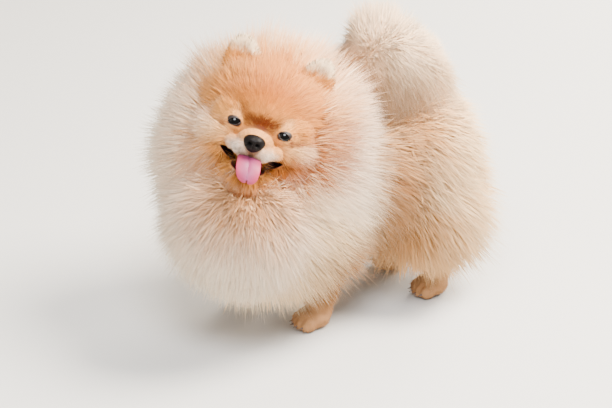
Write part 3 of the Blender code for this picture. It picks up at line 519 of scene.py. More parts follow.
markings = {
    "fur": {  # colours of the tips and the roots
        "head": ("#E8A658", "#CC8030"), "ruff": ("#FEECD6", "#F8D2A2"), "body": ("#F8DCB2", "#DE9E54"),
        # leg: tan fur, partly its own colour and partly painted shade under the body
        "tail": ("#FDE3C2", "#F0BE82"), "leg": ("#C08C60", "#A87846"), "ear": ("#D68A3C", "#C67C30"),
    },
    # the ear cup's colour is its orange-brown hair, darkened as painted shade of the hollow
    "earTip": "#FCDDB2", "earCup": "#A05818",
    # the warm disc of the head's fur: colour, strength, and where it fades on the head's frame
    "halo": ("#DD9040", 0.85, 0.03, 0.084),
    # on the head's frame: centre, radii, colour, strength
    "face": [
        ((0, 0.034, 0.044), (0.036, 0.03, 0.017), "#CC7824", 0.85),
        ((0, 0.008, 0.024), (0.028, 0.02, 0.015), "#A95508", 0.9),
        # the stop between the eyes: painted shade of its crease, in dark brown
        ((0.002, 0.001, 0.0034), (0.0135, 0.013, 0.0052), "#48220E", 0.98),
        ((0, -0.014, -0.007), (0.014, 0.012, 0.0056), "#DC9C60", 0.9),
        ((0.019, 0.002, 0.007), (0.0062, 0.01, 0.0026), "#F0BE84", 0.45),
        ((-0.02, 0.002, 0.0062), (0.0058, 0.01, 0.0022), "#F0BE84", 0.35),
        ((-0.023, 0.01, 0.0165), (0.014, 0.016, 0.0085), "#B4641C", 0.6),
        ((0.024, 0.01, 0.018), (0.013, 0.016, 0.008), "#B4641C", 0.5),
        ((0.034, 0.006, -0.01), (0.013, 0.02, 0.0088), "#F2BE84", 0.82),
        ((-0.035, 0.006, -0.01), (0.015, 0.02, 0.009), "#EDB880", 0.85),
        ((0.0115, -0.016, -0.0205), (0.009, 0.012, 0.006), "#E6D8C8", 0.92),
        ((-0.0115, -0.016, -0.0195), (0.01, 0.012, 0.0068), "#E0D2C4", 0.92),
        # painted shade under the nose, greying the white upper lip
        ((-0.0035, -0.026, -0.024), (0.011, 0.01, 0.0048), "#6E645E", 0.92),
        ((0.0278, 0.003, -0.004), (0.003, 0.008, 0.0022), "#7A3626", 0.85),
        ((-0.028, 0.003, -0.0036), (0.0028, 0.008, 0.002), "#7A3626", 0.8),
        ((0.036, 0.014, -0.027), (0.015, 0.022, 0.01), "#A85410", 0.88),
        ((-0.036, 0.014, -0.027), (0.013, 0.02, 0.008), "#D08A44", 0.6),
        ((0.051, 0.03, -0.008), (0.016, 0.03, 0.018), "#A24E06", 0.94),
        ((0.053, 0.034, -0.02), (0.015, 0.03, 0.013), "#9C4A06", 0.88),
        ((-0.0107, -0.006, -0.04), (0.0015, 0.012, 0.0028), "#E6D2C2", 0.7),
    ],
    # the warm fur under the chin, on the head's frame, over the ruff's upper edge too
    "throat": [
        ((0.003, -0.004, -0.05), (0.024, 0.026, 0.014), "#8E4A10", 0.92),
        ((0.005, 0.006, -0.066), (0.04, 0.036, 0.022), "#BE7834", 0.78),
    ],
    # lines of darker fur, and of painted shade along the brow's creases: places along the line, radius at its
    # start and end, colour, strength
    "lines": [
        (((-0.0287, 0.006, -0.0024), (-0.052, 0.036, -0.008)), 0.0032, 0.006, "#C27434", 0.65),
        (((0.0273, 0.006, -0.001), (0.0554, 0.04, 0.0108)), 0.0045, 0.01, "#964608", 0.82),
        # the brow's V from the stop: painted shade of the creases under the forehead's overhanging fur
        (
            ((0.002, 0, 0.0035), (-0.0095, 0.001, 0.005), (-0.015, 0.004, 0.01)),
            0.0045, 0.0045, "#6A2C04", 0.88,
        ),
        (
            ((0.002, 0, 0.0035), (0.0085, 0.001, 0.005), (0.0125, 0.004, 0.0045)),
            0.0045, 0.0036, "#6A2C04", 0.88,
        ),
        (((-0.0285, 0.004, -0.0215), (-0.052, 0.036, -0.0205)), 0.004, 0.0065, "#CC8244", 0.5),
        (((0.029, 0.004, -0.019), (0.06, 0.04, -0.008)), 0.006, 0.011, "#964608", 0.82),
        (((-0.0008, -0.03, -0.0205), (-0.0004, -0.028, -0.0275)), 0.0011, 0.0011, "#120A0A", 0.97),
    ],
    # on the body: centre, radii, tip colour, strength
    "coat": [
        # the flanks: darker orange side fur, deepened as painted shade in the valley between the ruff and the
        # thighs
        ((0.07, 0.004, 0.15), (0.05, 0.034, 0.09), "#7C3E08", 0.98),
        ((-0.07, 0.004, 0.15), (0.05, 0.03, 0.085), "#8E4C10", 0.95),
        ((0.05, -0.11, 0.07), (0.06, 0.05, 0.036), "#E6D0AC", 0.5),
        ((0.06, 0.03, 0.09), (0.05, 0.034, 0.034), "#9C5C22", 0.8),
        ((0.05, -0.045, 0.072), (0.048, 0.038, 0.038), "#7E4612", 0.95),
        ((0.04, 0.105, 0.13), (0.02, 0.022, 0.018), "#F0B266", 0.6),
        ((0.03, 0.07, 0.06), (0.05, 0.045, 0.03), "#E0AE6C", 0.45),
        ((0.01, 0.0, 0.235), (0.03, 0.02, 0.03), "#B87030", 0.9),
        ((0.045, 0.038, 0.185), (0.045, 0.026, 0.032), "#B06826", 0.8),
        ((0, 0.046, 0.2), (0.04, 0.03, 0.026), "#D8924C", 0.8),
    ],
    # the lips and the fur beside them: dark lip skin, with painted shade of the mouth's opening and inside
    "lips": "#2A1512", "lipFurAndShade": "#38190D", "gums": "#6A2E26", "eyeSkin": "#1A0C08", "pads": "#2B2322",
}


def mixIn(colours, code, share):
    return colours + (linearColour(code) - colours) * np.clip(share, 0, 1)[:, None]


def coatColours(places):
    # (tip colours, root colours) of the fur that grows at these places
    shares = regionShares(places)
    head = inHead(places)
    near = ramp(shares[:, 0], 0.2, 0.7)
    forward = shares[:, 0] + shares[:, 1]
    washes = []  # colour, share at the tips, share at the roots
    code, strength, low, high = markings["halo"]
    disc = np.hypot(head[:, 0], (head[:, 2] - 0.008) / 1.15)
    share = strength * (1 - ramp(disc, low, high)) * forward * (1 - ramp(head[:, 1], 0.055, 0.085))
    share *= 1 - 0.6 * ramp(-head[:, 0], 0.016, 0.042) * ramp(-head[:, 2], -0.024, 0.004)
    washes.append((code, share, share * 0.6))
    for zone, reach, depth in (("throat", forward, 0.4), ("face", near, 0.85)):
        for centre, radii, code, strength in markings[zone]:
            gap = np.linalg.norm((head - np.array(centre)) / np.array(radii), axis=1)
            share = reach * strength * np.exp(-(gap ** 2.4))
            washes.append((code, share, share * depth))
    for spots, thin, wide, code, strength in markings["lines"]:
        best = np.zeros(len(head))
        knots = [np.array(p) for p in spots]
        for k, (start, end) in enumerate(zip(knots, knots[1:])):
            along = np.clip((head - start) @ (end - start) / ((end - start) @ (end - start)), 0, 1)
            gap = np.linalg.norm(head - start - along[:, None] * (end - start), axis=1)
            radius = thin + (wide - thin) * (k + along) / (len(knots) - 1)
            best = np.maximum(best, np.exp(-((gap / radius) ** 2)))
        washes.append((code, best * strength, best * strength))
    for centre, radii, code, strength in markings["coat"]:
        gap = (places - np.array(onBody(centre))) / np.array(radii)
        share = strength * (1 - near) * np.exp(-(np.linalg.norm(gap, axis=1) ** 2))
        washes.append((code, share, share * 0.5))
    share = shares[:, 5] * ramp(head[:, 2], 0.057, 0.065)
    washes.append((markings["earTip"], share, share * 0.8))
    # the ear's cup: orange-brown hair, with painted shade of its hollow
    for earBase, earTip, lean in earForms:
        gap = (head - np.array(earBase.lerp(earTip, 0.52))) / np.array((0.0072, 1.0, 0.0125))
        share = shares[:, 5] * 0.85 * np.exp(-(np.hypot(gap[:, 0], gap[:, 2]) ** 3)) * (head[:, 1] < 0.0405)
        washes.append((markings["earCup"], share, share))
    # the fur beside the lips is dark, apart from the middle of the upper lip: dark lip edges, with painted
    # shade of the mouth's opening
    beside = ramp(np.abs(head[:, 0]), 0.01, 0.016) + ramp(-head[:, 2], 0.034, 0.038) * 0.8
    share = near * np.clip(beside, 0, 1) * np.exp(-((np.maximum(mouthDistance(places), 0) / 0.0016) ** 2))
    share *= 0.85 * onFace(head)
    washes.append((markings["lipFurAndShade"], share * 0.35, share))
    tips, roots = (
        shares @ np.stack([linearColour(markings["fur"][n][end]) for n in regions]) for end in (0, 1)
    )
    for code, tipShare, rootShare in washes:
        tips = mixIn(tips, code, tipShare)
        roots = mixIn(roots, code, rootShare)
    return tips, roots * (1 - 0.18 * near[:, None])


def eyeGap(head):
    # distance in the face's plane from the nearer eye's middle, in units of the lids' almond
    best = np.full(len(head), 9.0)
    for side in (1, -1):
        x, z = head[:, 0] - side * pose["eyeSpread"], head[:, 2] - 0.0004
        across, up = swing(x, z, -pose["lidLean"] * side)
        gap = np.hypot(across / 0.0066, up / 0.0043)
        gap[head[:, 1] > 0.014] = 9.0
        best = np.minimum(best, gap)
    return best


def addColours(obj, name, colours):
    flat = np.ones((len(colours), 4), np.float32)
    flat[:, :3] = colours
    layer = obj.data.color_attributes.new(name, "FLOAT_COLOR", "POINT")
    layer.data.foreach_set("color", flat.ravel())


skinPoints = getPoints(skin)
skinNormals = readAll(skin.data.vertices, "normal", 3).astype(float)
headPoints = inHead(skinPoints)
tipColours, rootColours = coatColours(skinPoints)
skinColours = rootColours * 0.45 + tipColours * 0.55
# dark lip skin round the mouth, which also paints the mouth's inside dark as painted shade; deeper in it
# turns to the gums' colour
lipAndMouthShadeShare = np.where(onFace(headPoints), 1 - ramp(mouthDistance(skinPoints), 0.0005, 0.0014), 0)
deep = lipAndMouthShadeShare * ramp(headPoints[:, 1], -0.018, 0.004)
rimShare = 1 - ramp(eyeGap(headPoints), 0.95, 1.08)
padShare = (1 - ramp(skinPoints[:, 2], 0.0012, 0.003)) * ramp(-skinNormals[:, 2], 0.2, 0.6)
for name, share in (("lips", lipAndMouthShadeShare), ("gums", deep * 0.5), ("eyeSkin", rimShare), ("pads", padShare)):
    skinColours = mixIn(skinColours, markings[name], share)
addColours(skin, "coatColour", skinColours)
wet = np.maximum(lipAndMouthShadeShare, rimShare * 0.6)
addColours(skin, "bareShare", np.repeat(wet[:, None], 3, axis=1))

# Skin under the coat: matt, finely streaked by short hair roots, moist only on the lips and lids
streaks = ("ShaderNodeTexNoise", {"Scale": 1600, "Detail": 3.0})
skinMaterial, tree, shader = grainMaterial(
    "shortFurSkin", streaks, tint=("coatColour", 0.78, 1.12), bump=(0.35, 0.0004)
)
bare = addNode(tree, "ShaderNodeVertexColor", {"layer_name": "bareShare"})
gloss = addNode(tree, "ShaderNodeMapRange", {"To Min": 0.85, "To Max": 0.32}, {"Value": bare.outputs[0]})
tree.links.new(gloss.outputs[0], shader.inputs["Roughness"])
dress(
    skin, skinMaterial, "coat", "head", "jaw", "neck", "torso", "tail", "ear_left", "ear_right",
    "foreleg_left", "foreleg_right", "hindleg_left", "hindleg_right",
)
print("stage: skin coloured")

# Coat: thin, bent, tapered tufts in overlapping locks, each a closed solid with its root in the skin

coatPlan = {
    # region: guard tufts, tufts to a lock, how far a lock's tips draw together, spread of the single hairs,
    # and how low the tips hang and how wide a hair is, in metres
    "head": {"tufts": 55000, "lock": 9, "draw": 0.26, "spread": 0.18, "hem": 0, "width": 0.00044},
    "ruff": {"tufts": 50000, "lock": 9, "draw": 0.18, "spread": 0.26, "hem": 0.044, "width": 0.0005},
    "body": {"tufts": 29000, "lock": 9, "draw": 0.2, "spread": 0.26, "hem": 0.036, "width": 0.00054},
    "tail": {"tufts": 28000, "lock": 9, "draw": 0.2, "spread": 0.26, "hem": 0, "width": 0.0005},
    "leg": {"tufts": 10000, "lock": 6, "draw": 0.3, "spread": 0.13, "hem": 0, "width": 0.00054},
    "ear": {"tufts": 7000, "lock": 6, "draw": 0.25, "spread": 0.16, "hem": 0, "width": 0.00044},
    "crownWidth": 0.00052,  # where the face's hair ends
    # the wide under hair: its share, and its width and length against the guard hair's
    "down": 0.17, "downWidth": 4.4, "downLength": 0.8,
    "curlCentre": (0, 0.03, 0.16), "curlMiddle": (0, 0.046, 0.198),
    # the plume's outline seen from the side: its middle, the radii at these angles, and half its breadth
    "plumeMiddle": (0.05, 0.215), "plumeBreadth": 0.054,
    "plumeAngles": (-130, -60, -30, -5, 18, 54, 85, 101, 112, 124, 132, 143, 155, 170),
    "plumeRadii": (
        0.075, 0.085, 0.078, 0.06, 0.052, 0.051, 0.064, 0.08, 0.082, 0.071, 0.058, 0.056, 0.058, 0.062,
    ),
    "pieceTriangles": 190000,  # at most this many in a piece
}
skin.data.calc_loop_triangles()
triangleCount = len(skin.data.loop_triangles)
corners = readAll(skin.data.loop_triangles, "vertices", 3, np.int32)
loops = readAll(skin.data.loop_triangles, "loops", 3, np.int32)
uvs = readAll(skin.data.uv_layers["OFBake"].data, "uv", 2).astype(float)
a, b, c = (skinPoints[corners[:, k]] for k in range(3))
areas = np.linalg.norm(np.cross(b - a, c - a), axis=1) / 2
middles = (a + b + c) / 3
middleShares = regionShares(middles)
headMiddles = inHead(middles)


def muzzleGap(head):
    # distance on the head's frame from the middle of the muzzle, which sets how long the face's fur is
    return np.linalg.norm(head - np.array((0, -0.012, -0.014)), axis=1)


noseGap = (headMiddles - np.array((0, -0.0262, -0.0139))) / np.array((0.0092, 0.008, 0.0075))
noseGap = np.linalg.norm(noseGap, axis=1)
bareTriangle = (mouthDistance(middles) < 0.0001) & onFace(headMiddles)
bareTriangle |= (eyeGap(headMiddles) < 1.0) | (middles[:, 2] < 0.0015) | (noseGap < 1.0)
thick = 1 + 2.8 * middleShares[:, 0] * (1 - ramp(muzzleGap(headMiddles), 0.03, 0.055))
thick *= 1 + 1.0 * middleShares[:, 4] * (1 - ramp(middles[:, 2], 0.02, 0.05))
wanted = np.zeros(triangleCount)
for index, name in enumerate(regions):
    part = areas * middleShares[:, index] * thick * ~bareTriangle
    wanted += part / part.sum() * coatPlan[name]["tufts"]
tuftCount = int(wanted.sum() * (1 + coatPlan["down"]))
picks = chance.choice(triangleCount, tuftCount, p=wanted / wanted.sum())
u, v = chance.random(tuftCount), chance.random(tuftCount)
flip = u + v > 1
u[flip], v[flip] = 1 - u[flip], 1 - v[flip]
weights = np.stack([1 - u - v, u, v], axis=1)[:, :, None]
roots = (skinPoints[corners[picks]] * weights).sum(axis=1)
normals = unit((skinNormals[corners[picks]] * weights).sum(axis=1))
rootUvs = (uvs[loops[picks]] * weights[:, :, :1]).sum(axis=1)
shares = regionShares(roots)
headRoots = inHead(roots)


def alongSurface(directions, normals):
    flat = directions - normals * (directions * normals).sum(axis=1, keepdims=True)
    return unit(flat)


def waves(places, size, seed):
    # a smooth vector field that varies over about size metres
    maker = np.random.default_rng(seed)
    total = np.zeros_like(places)
    for _ in range(5):
        way = unit(maker.normal(size=3)) * 2 * math.pi / size * maker.uniform(0.6, 1.5)
        total += maker.normal(size=3) * np.sin(places @ way + maker.uniform(0, 6.28))[:, None]
    return total / math.sqrt(5)


def layCoat(roots, normals, shares, headRoots):
    # way, droop, length and width of each tuft, blended between the regions
    count = len(roots)
    bodyRoots = roots - np.array(partShift)
    ways = np.zeros((count, len(regions), 3))
    droops = np.zeros((count, len(regions), 3))
    lengths = np.zeros((count, len(regions)))
    widths = np.tile([coatPlan[n]["width"] for n in regions], (count, 1))
    x, y, z = headRoots.T
    headBack, headUp = headAxes[:, 1], headAxes[:, 2]

    # head: away from the nose, plush on the forehead and cheeks, longest on the crown
    gap = muzzleGap(headRoots)
    lowCheek = ramp(-z, 0.018, 0.032) * ramp(np.abs(x), 0.01, 0.022) * ramp(y, -0.008, 0.012)
    gap = gap * (1 + 0.5 * lowCheek)
    lie = alongSurface(roots - np.array(onHead((0, -0.024, -0.012))), normals)
    lift = np.interp(gap, (0.016, 0.032, 0.045, 0.06, 0.075), (0.46, 0.44, 0.54, 0.72, 0.84))
    ways[:, 0] = unit(normals * lift[:, None] + lie * np.sqrt(1 - lift**2)[:, None])
    droops[:, 0] = np.array((0, 0, -0.06)) + headBack * 0.06
    lengths[:, 0] = np.interp(
        gap, (0.014, 0.02, 0.028, 0.034, 0.042, 0.05, 0.06, 0.075),
        (0.004, 0.0048, 0.0074, 0.0105, 0.0145, 0.02, 0.028, 0.036),
    )
    padEnd = ramp(np.abs(x), 0.012, 0.018) * ramp(z, -0.021, -0.015)
    padEnd *= (1 - ramp(z, -0.008, 0)) * (y < 0.012)
    lengths[:, 0] += 0.003 * padEnd
    bridge = (1 - ramp(np.abs(x), 0.006, 0.012)) * ramp(z, -0.012, -0.006) * (1 - ramp(z, 0.006, 0.012))
    lengths[:, 0] *= 1 - 0.1 * bridge
    chin = (1 - ramp(np.abs(x), 0.012, 0.026)) * ramp(-z, 0.036, 0.042) * (1 - ramp(y, 0.006, 0.02))
    lengths[:, 0] += (0.015 - lengths[:, 0]) * chin
    jaw = ramp(-z, 0.03, 0.04)
    ways[:, 0] = unit(ways[:, 0] - headUp * (0.85 * jaw)[:, None] - headBack * (0.4 * jaw)[:, None])
    lengths[:, 0] += 0.014 * jaw * (1 - chin)
    atLip = 1 - ramp(mouthDistance(roots), 0.001, 0.004)
    lengths[:, 0] *= 1 - 0.42 * atLip * onFace(headRoots)
    widths[:, 0] = np.interp(gap, (0.025, 0.06), (coatPlan["head"]["width"], coatPlan["crownWidth"]))

    # ruff: outward from the head, standing well off the body
    out = unit(roots - np.array(onHead((0, 0.045, -0.02))))
    low = ramp(0.15 - bodyRoots[:, 2], 0.0, 0.07)
    ways[:, 1] = unit(normals * 0.62 + out * 0.42 + alongSurface(out, normals) * 0.34)
    droops[:, 1] = np.array((0, 0, -0.12)) - np.outer(low, (0, 0, 0.2)) + headBack * 0.04
    rise = (out * headUp).sum(axis=1)
    lengths[:, 1] = 0.045 + 0.015 * ramp(rise, 0.35, 0.9) - 0.004 * ramp(-rise, 0.2, 0.8)
    beside = (out * headAxes[:, 0]).sum(axis=1)
    shorter = 0.009 * ramp(beside, 0.25, 0.6) * ramp(rise, -0.1, 0.25)
    lengths[:, 1] -= shorter * (1 - ramp(rise, 0.6, 0.85))
    throat = ramp(-z, 0.03, 0.044) * (1 - ramp(np.abs(x), 0.03, 0.05)) * (1 - ramp(y, 0.026, 0.05))
    throat *= 1 - ramp(regionDistances(roots)[:, 0], 0.004, 0.024)
    lengths[:, 1] *= 1 - 0.26 * throat
    ways[:, 1] = unit(ways[:, 1] - headBack * (0.8 * throat)[:, None])

    # body: back and down, thick on the thighs
    rear = ramp(bodyRoots[:, 1], 0.04, 0.09)
    high = ramp(bodyRoots[:, 2], 0.165, 0.185)
    lowBody = ramp(0.12 - bodyRoots[:, 2], 0.0, 0.05)
    fall = np.stack([np.zeros(count), np.ones(count), -0.45 - 1.1 * rear], axis=1)
    lift = 0.84 - 0.06 * high
    ways[:, 2] = unit(normals * lift[:, None] + alongSurface(fall, normals) * np.sqrt(1 - lift**2)[:, None])
    droops[:, 2] = -np.outer(0.14 + 0.12 * rear, (0, 0, 1))
    lengths[:, 2] = 0.041 + 0.004 * rear - 0.003 * high + 0.006 * lowBody

    # tail: a fan that spreads from the middle of its curl, and sideways where it faces the back
    centres = np.array([np.array(onBody(s[:3])) for s in tailCentres])
    gaps = np.linalg.norm(roots[:, None, :] - centres[None], axis=2)
    nearest = gaps.argmin(axis=1)
    steps = unit(np.gradient(centres, axis=0))[nearest]
    fromCurl = roots - np.array(onBody(coatPlan["curlCentre"]))
    fromCurl[:, 0] *= 0.5
    fromCurl = unit(fromCurl)
    inner = np.clip(-(normals * fromCurl).sum(axis=1), 0, 1)
    sideways = np.zeros((count, 3))
    sideways[:, 0] = np.clip(bodyRoots[:, 0] / 0.01, -1, 1)
    toMiddle = unit((np.array(onBody(coatPlan["curlMiddle"])) - roots) * np.array((0, 1, 1)))
    flank = np.abs(normals[:, 0])
    outwardShare = 0.62 * (1 - inner) ** 2 * (1 - 0.5 * flank)
    ways[:, 3] = unit(
        normals * (0.5 - 0.2 * inner)[:, None] + fromCurl * outwardShare[:, None]
        + steps * 0.15 + sideways * (0.18 + 0.52 * inner)[:, None]
        + toMiddle * (0.45 * np.maximum(inner, 0.7 * flank))[:, None]
    )
    lowTail = ramp(0.222 - bodyRoots[:, 2], 0.0, 0.035) * (1 - inner)
    droops[:, 3] = -np.outer(0.06 + 0.22 * np.abs(ways[:, 3, 0]) + 0.5 * lowTail, (0, 0, 1))
    lengths[:, 3] = 0.05
    middleY, middleZ = coatPlan["plumeMiddle"]
    for step in range(25, 4, -1):
        at = bodyRoots + ways[:, 3] * (0.002 * step)
        angle = np.degrees(np.arctan2(at[:, 2] - middleZ, at[:, 1] - middleY))
        radius = np.interp(angle, coatPlan["plumeAngles"], coatPlan["plumeRadii"], period=360)
        outside = (np.hypot(at[:, 1] - middleY, at[:, 2] - middleZ) / radius) ** 2
        outside += (at[:, 0] / coatPlan["plumeBreadth"]) ** 2
        lengths[:, 3] = np.where(outside > 1, 0.002 * step, lengths[:, 3])

    # legs: short and straight down
    downward = alongSurface(np.tile((0, -0.15, -1.0), (count, 1)), normals)
    ways[:, 4] = unit(normals * 0.3 + downward * 0.95)
    lengths[:, 4] = 0.0045 + 0.017 * ramp(bodyRoots[:, 2], 0.018, 0.05)

    # ears: short, away from the ear's middle
    earMiddles = np.array([np.array(onHead(base.lerp(tip, 0.55))) for base, tip, lean in earForms])
    fromEar = roots - earMiddles[(x < 0).astype(int)]
    ways[:, 5] = unit(
        normals * 0.42 + alongSurface(fromEar, normals) * 0.62 + alongSurface(headUp, normals) * 0.3
    )
    lengths[:, 5] = 0.0064

    mix = shares[:, :, None]
    return (
        unit((ways * mix).sum(axis=1)), (droops * mix).sum(axis=1),
        (lengths * shares).sum(axis=1), (widths * shares).sum(axis=1),
    )


ways, droops, lengths, widths = layCoat(roots, normals, shares, headRoots)
plush = ramp(lengths, 0.004, 0.022)  # 0 on the short fur of the face and feet, 1 on the long coat
eyeNear = eyeGap(headRoots)
lengths *= np.where(eyeNear < 2.2, 0.5 + 0.5 * ramp(eyeNear, 1.0, 2.2), 1)
spread = shares @ np.array([coatPlan[n]["spread"] for n in regions])
spread *= 0.35 + 0.65 * plush
ways = unit(
    ways + waves(roots, 0.028, 3) * (0.14 * plush)[:, None]
    + waves(roots, 0.009, 4) * (0.1 * (1 - plush))[:, None]
    + chance.normal(size=roots.shape) * spread[:, None]
)
lengths *= 1 + 0.1 * waves(roots, 0.014, 5)[:, 0] * plush + chance.normal(size=tuftCount) * 0.1
isDown = (chance.random(tuftCount) < coatPlan["down"] * 1.2) & (lengths > 0.015)
lengths = np.where(isDown, lengths * coatPlan["downLength"], lengths)
widths = np.where(isDown, widths * coatPlan["downWidth"], widths)
lengths = np.maximum(lengths, 0.0022)
main = shares.argmax(axis=1)


def strandPath(roots, normals, ways, droops, lengths, share):
    # where the strands are at this share of their length
    start = roots - normals * 0.0008
    bent = ways * share + droops * share**2
    return start + bent * lengths[:, None]


limitLow = np.array(cadBox[0]) - 0.002
limitHigh = np.array(cadBox[1]) + 0.002
limitLow[2] = 0.001
tips = strandPath(roots, normals, ways, droops, lengths, 1.0)
hems = shares @ np.array([coatPlan[n]["hem"] for n in regions])
hems = np.minimum(hems, roots[:, 2] - 0.003) + chance.normal(size=tuftCount) * 0.0045
fall = (roots[:, 2] - hems) / np.maximum(roots[:, 2] - tips[:, 2], 1e-6)
lengths *= np.clip(fall, 0.2, 1) ** (tips[:, 2] < hems)
tips = strandPath(roots, normals, ways, droops, lengths, 1.0)
for axis in range(3):
    for limit, sign in ((limitLow[axis], -1), (limitHigh[axis], 1)):
        over = sign * (tips[:, axis] - limit)
        reach = np.maximum(np.abs(tips[:, axis] - roots[:, axis]), 1e-6)
        lengths *= np.where(over > 0, np.clip(1 - over / reach, 0.15, 1), 1)

# locks: each tuft leans towards the nearest lock's middle strand, more so at its tip
wave = unit(np.cross(ways, chance.normal(size=roots.shape)))
wavePhase = chance.uniform(0, 6.28, tuftCount)
owner = np.arange(tuftCount)
drawn = np.zeros(tuftCount)
for index, name in enumerate(regions):
    members = np.flatnonzero(main == index)
    heads = chance.choice(members, max(1, len(members) // coatPlan[name]["lock"]), replace=False)
    finder = KDTree(len(heads))
    for k, h in enumerate(heads):
        finder.insert(roots[h], k)
    finder.balance()
    owner[members] = [heads[finder.find(roots[m])[1]] for m in members]
    drawn[members] = coatPlan[name]["draw"]
drawn = np.clip(drawn * chance.uniform(0.3, 1.4, tuftCount), 0, 0.9) * (0.4 + 0.6 * plush)
lockTone = chance.normal(size=tuftCount)[owner]
# a marking's edge is ragged: each lock takes its colour from a little way off
colourPlaces = chance.normal(size=roots.shape)[owner] * 0.75 + chance.normal(size=roots.shape) * 0.5
colourPlaces = roots + colourPlaces * np.interp(lengths, (0.004, 0.04), (0.0009, 0.005))[:, None]


def tuftPoints(share):
    own = strandPath(roots, normals, ways, droops, lengths, share)
    sway = np.sin(share * 5.2 + wavePhase) - np.sin(wavePhase)
    own += wave * (lengths * 0.032 * sway)[:, None]
    lead = strandPath(
        roots[owner], normals[owner], ways[owner], droops[owner], lengths[owner] * 0.4 + lengths * 0.6, share
    )
    return own + (lead - own) * (drawn * share**1.3)[:, None]


tuftShape = {
    1: {"stations": (0.0, 0.48, 1.0), "girths": (0.0, 1.0, 0.0)},  # guard hair
    2: {"stations": (0.0, 0.24, 0.68, 1.0), "girths": (0.0, 1.0, 0.8, 0.0)},  # down
    "flat": 0.6, "patch": 0.0028,
}


def tuftMesh(name, members, rings):
    # arrays of one coat piece: a root point, rings of three, and a tip point to each tuft
    stations, girths = tuftShape[rings]["stations"], tuftShape[rings]["girths"]
    line = np.stack([tuftPoints(s)[members] for s in stations], axis=1)
    count, sides = len(members), 3
    perTuft = 2 + rings * sides
    points = np.empty((count, perTuft, 3))
    rounded = np.empty((count, perTuft, 3))
    shade = np.empty((count, perTuft))
    points[:, 0], points[:, -1] = line[:, 0], line[:, -1]
    rounded[:, 0] = rounded[:, -1] = normals[members]
    shade[:, 0], shade[:, -1] = 0.0, 1.0
    for r in range(rings):
        ahead = unit(line[:, r + 2] - line[:, r])
        across = unit(np.cross(ahead, normals[members]))
        upward = np.cross(ahead, across)
        for s in range(sides):
            angle = 2 * math.pi * s / sides + 0.5
            half = widths[members] * girths[r + 1] / 2
            offset = across * (half * math.cos(angle))[:, None]
            offset += upward * (half * tuftShape["flat"] * math.sin(angle))[:, None]
            points[:, 1 + r * sides + s] = line[:, r + 1] + offset
            rounded[:, 1 + r * sides + s] = unit(offset)
            shade[:, 1 + r * sides + s] = stations[r + 1]
    faces, faceUvs = [], []
    columns = np.arange(sides + 1) / sides
    for s in range(sides):
        n = (s + 1) % sides
        left, right = columns[s], columns[s + 1]
        low, high = 1, 1 + (rings - 1) * sides
        v0, v1 = stations[1], stations[rings]
        faces.append((0, low + n, low + s))
        faceUvs.append(((left + right) / 2, 0.0, right, v0, left, v0))
        if rings > 1:
            faces += [(low + s, low + n, high + n), (low + s, high + n, high + s)]
            faceUvs += [(left, v0, right, v0, right, v1), (left, v0, right, v1, left, v1)]
        faces.append((high + s, high + n, perTuft - 1))
        faceUvs.append((left, v1, right, v1, (left + right) / 2, 1.0))
    faces = np.array(faces)
    faceUvs = np.array(faceUvs).reshape(-1, 3, 2)
    allFaces = (faces[None] + (np.arange(count) * perTuft)[:, None, None]).reshape(-1)
    patch = rootUvs[members][:, None, None, :] + (faceUvs[None] - 0.5) * tuftShape["patch"]
    patch = np.clip(patch, 0.001, 0.999).reshape(-1)
    mesh = bpy.data.meshes.new(name)
    mesh.vertices.add(count * perTuft)
    mesh.vertices.foreach_set("co", points.astype(np.float32).ravel())
    faceCount = len(allFaces) // 3
    mesh.loops.add(faceCount * 3)
    mesh.loops.foreach_set("vertex_index", allFaces.astype(np.int32))
    mesh.polygons.add(faceCount)
    mesh.polygons.foreach_set("loop_start", np.arange(0, faceCount * 3, 3, dtype=np.int32))
    mesh.polygons.foreach_set("use_smooth", np.ones(faceCount, bool))
    mesh.uv_layers.new(name="OFBake")
    mesh.uv_layers["OFBake"].data.foreach_set("uv", patch.astype(np.float32))
    mesh.update(calc_edges=True)
    obj = bpy.data.objects.new(name, mesh)
    bpy.context.scene.collection.objects.link(obj)
    tipTint, rootTint = coatColours(colourPlaces[members])
    warm = chance.normal(size=(count, 1)) * 0.05
    value = (1 + chance.normal(size=(count, 1)) * 0.07) * (1 + waves(roots[members], 0.012, 9)[:, :1] * 0.04)
    value *= 1 + lockTone[members, None] * (0.04 + 0.1 * shares[members, :1] * (1 - plush[members, None]))
    tipTint = tipTint * value * (1 + warm * np.array((0.3, -0.2, -0.9)))
    tipTint = np.where(isDown[members][:, None], tipTint * 0.6 + rootTint * 0.4, tipTint)
    climb = ramp(shade, 0.05, 0.8)[:, :, None]
    colours = rootTint[:, None, :] * (1 - climb) + tipTint[:, None, :] * climb
    spot = headRoots[members]
    low = 1 - 0.9 * ramp(spot[:, 2], -0.006, 0.012) * (1 - ramp(spot[:, 1], 0.055, 0.072))
    plushFace = 0.6 * shares[members, 0] * ramp(lengths[members], 0.011, 0.02)
    low *= plushFace * (1 - 0.9 * ramp(spot[:, 0], 0.026, 0.044))
    low *= 1 - 0.7 * ramp(-spot[:, 2], 0.036, 0.046) * (1 - ramp(np.abs(spot[:, 0]), 0.018, 0.034))
    pale = ramp(shade, 0.55, 1.0) * low[:, None]
    colours += (linearColour(markings["fur"]["ruff"][0]) - colours) * pale[:, :, None]
    addColours(obj, "coatColour", np.clip(colours, 0, 1).reshape(-1, 3))
    hold = 0.76 - 0.3 * shares[members, :1, None]
    soft = unit(rounded * (1 - hold) + normals[members][:, None, :] * hold).reshape(-1, 3)
    mesh.normals_split_custom_set_from_vertices(soft)
    return obj


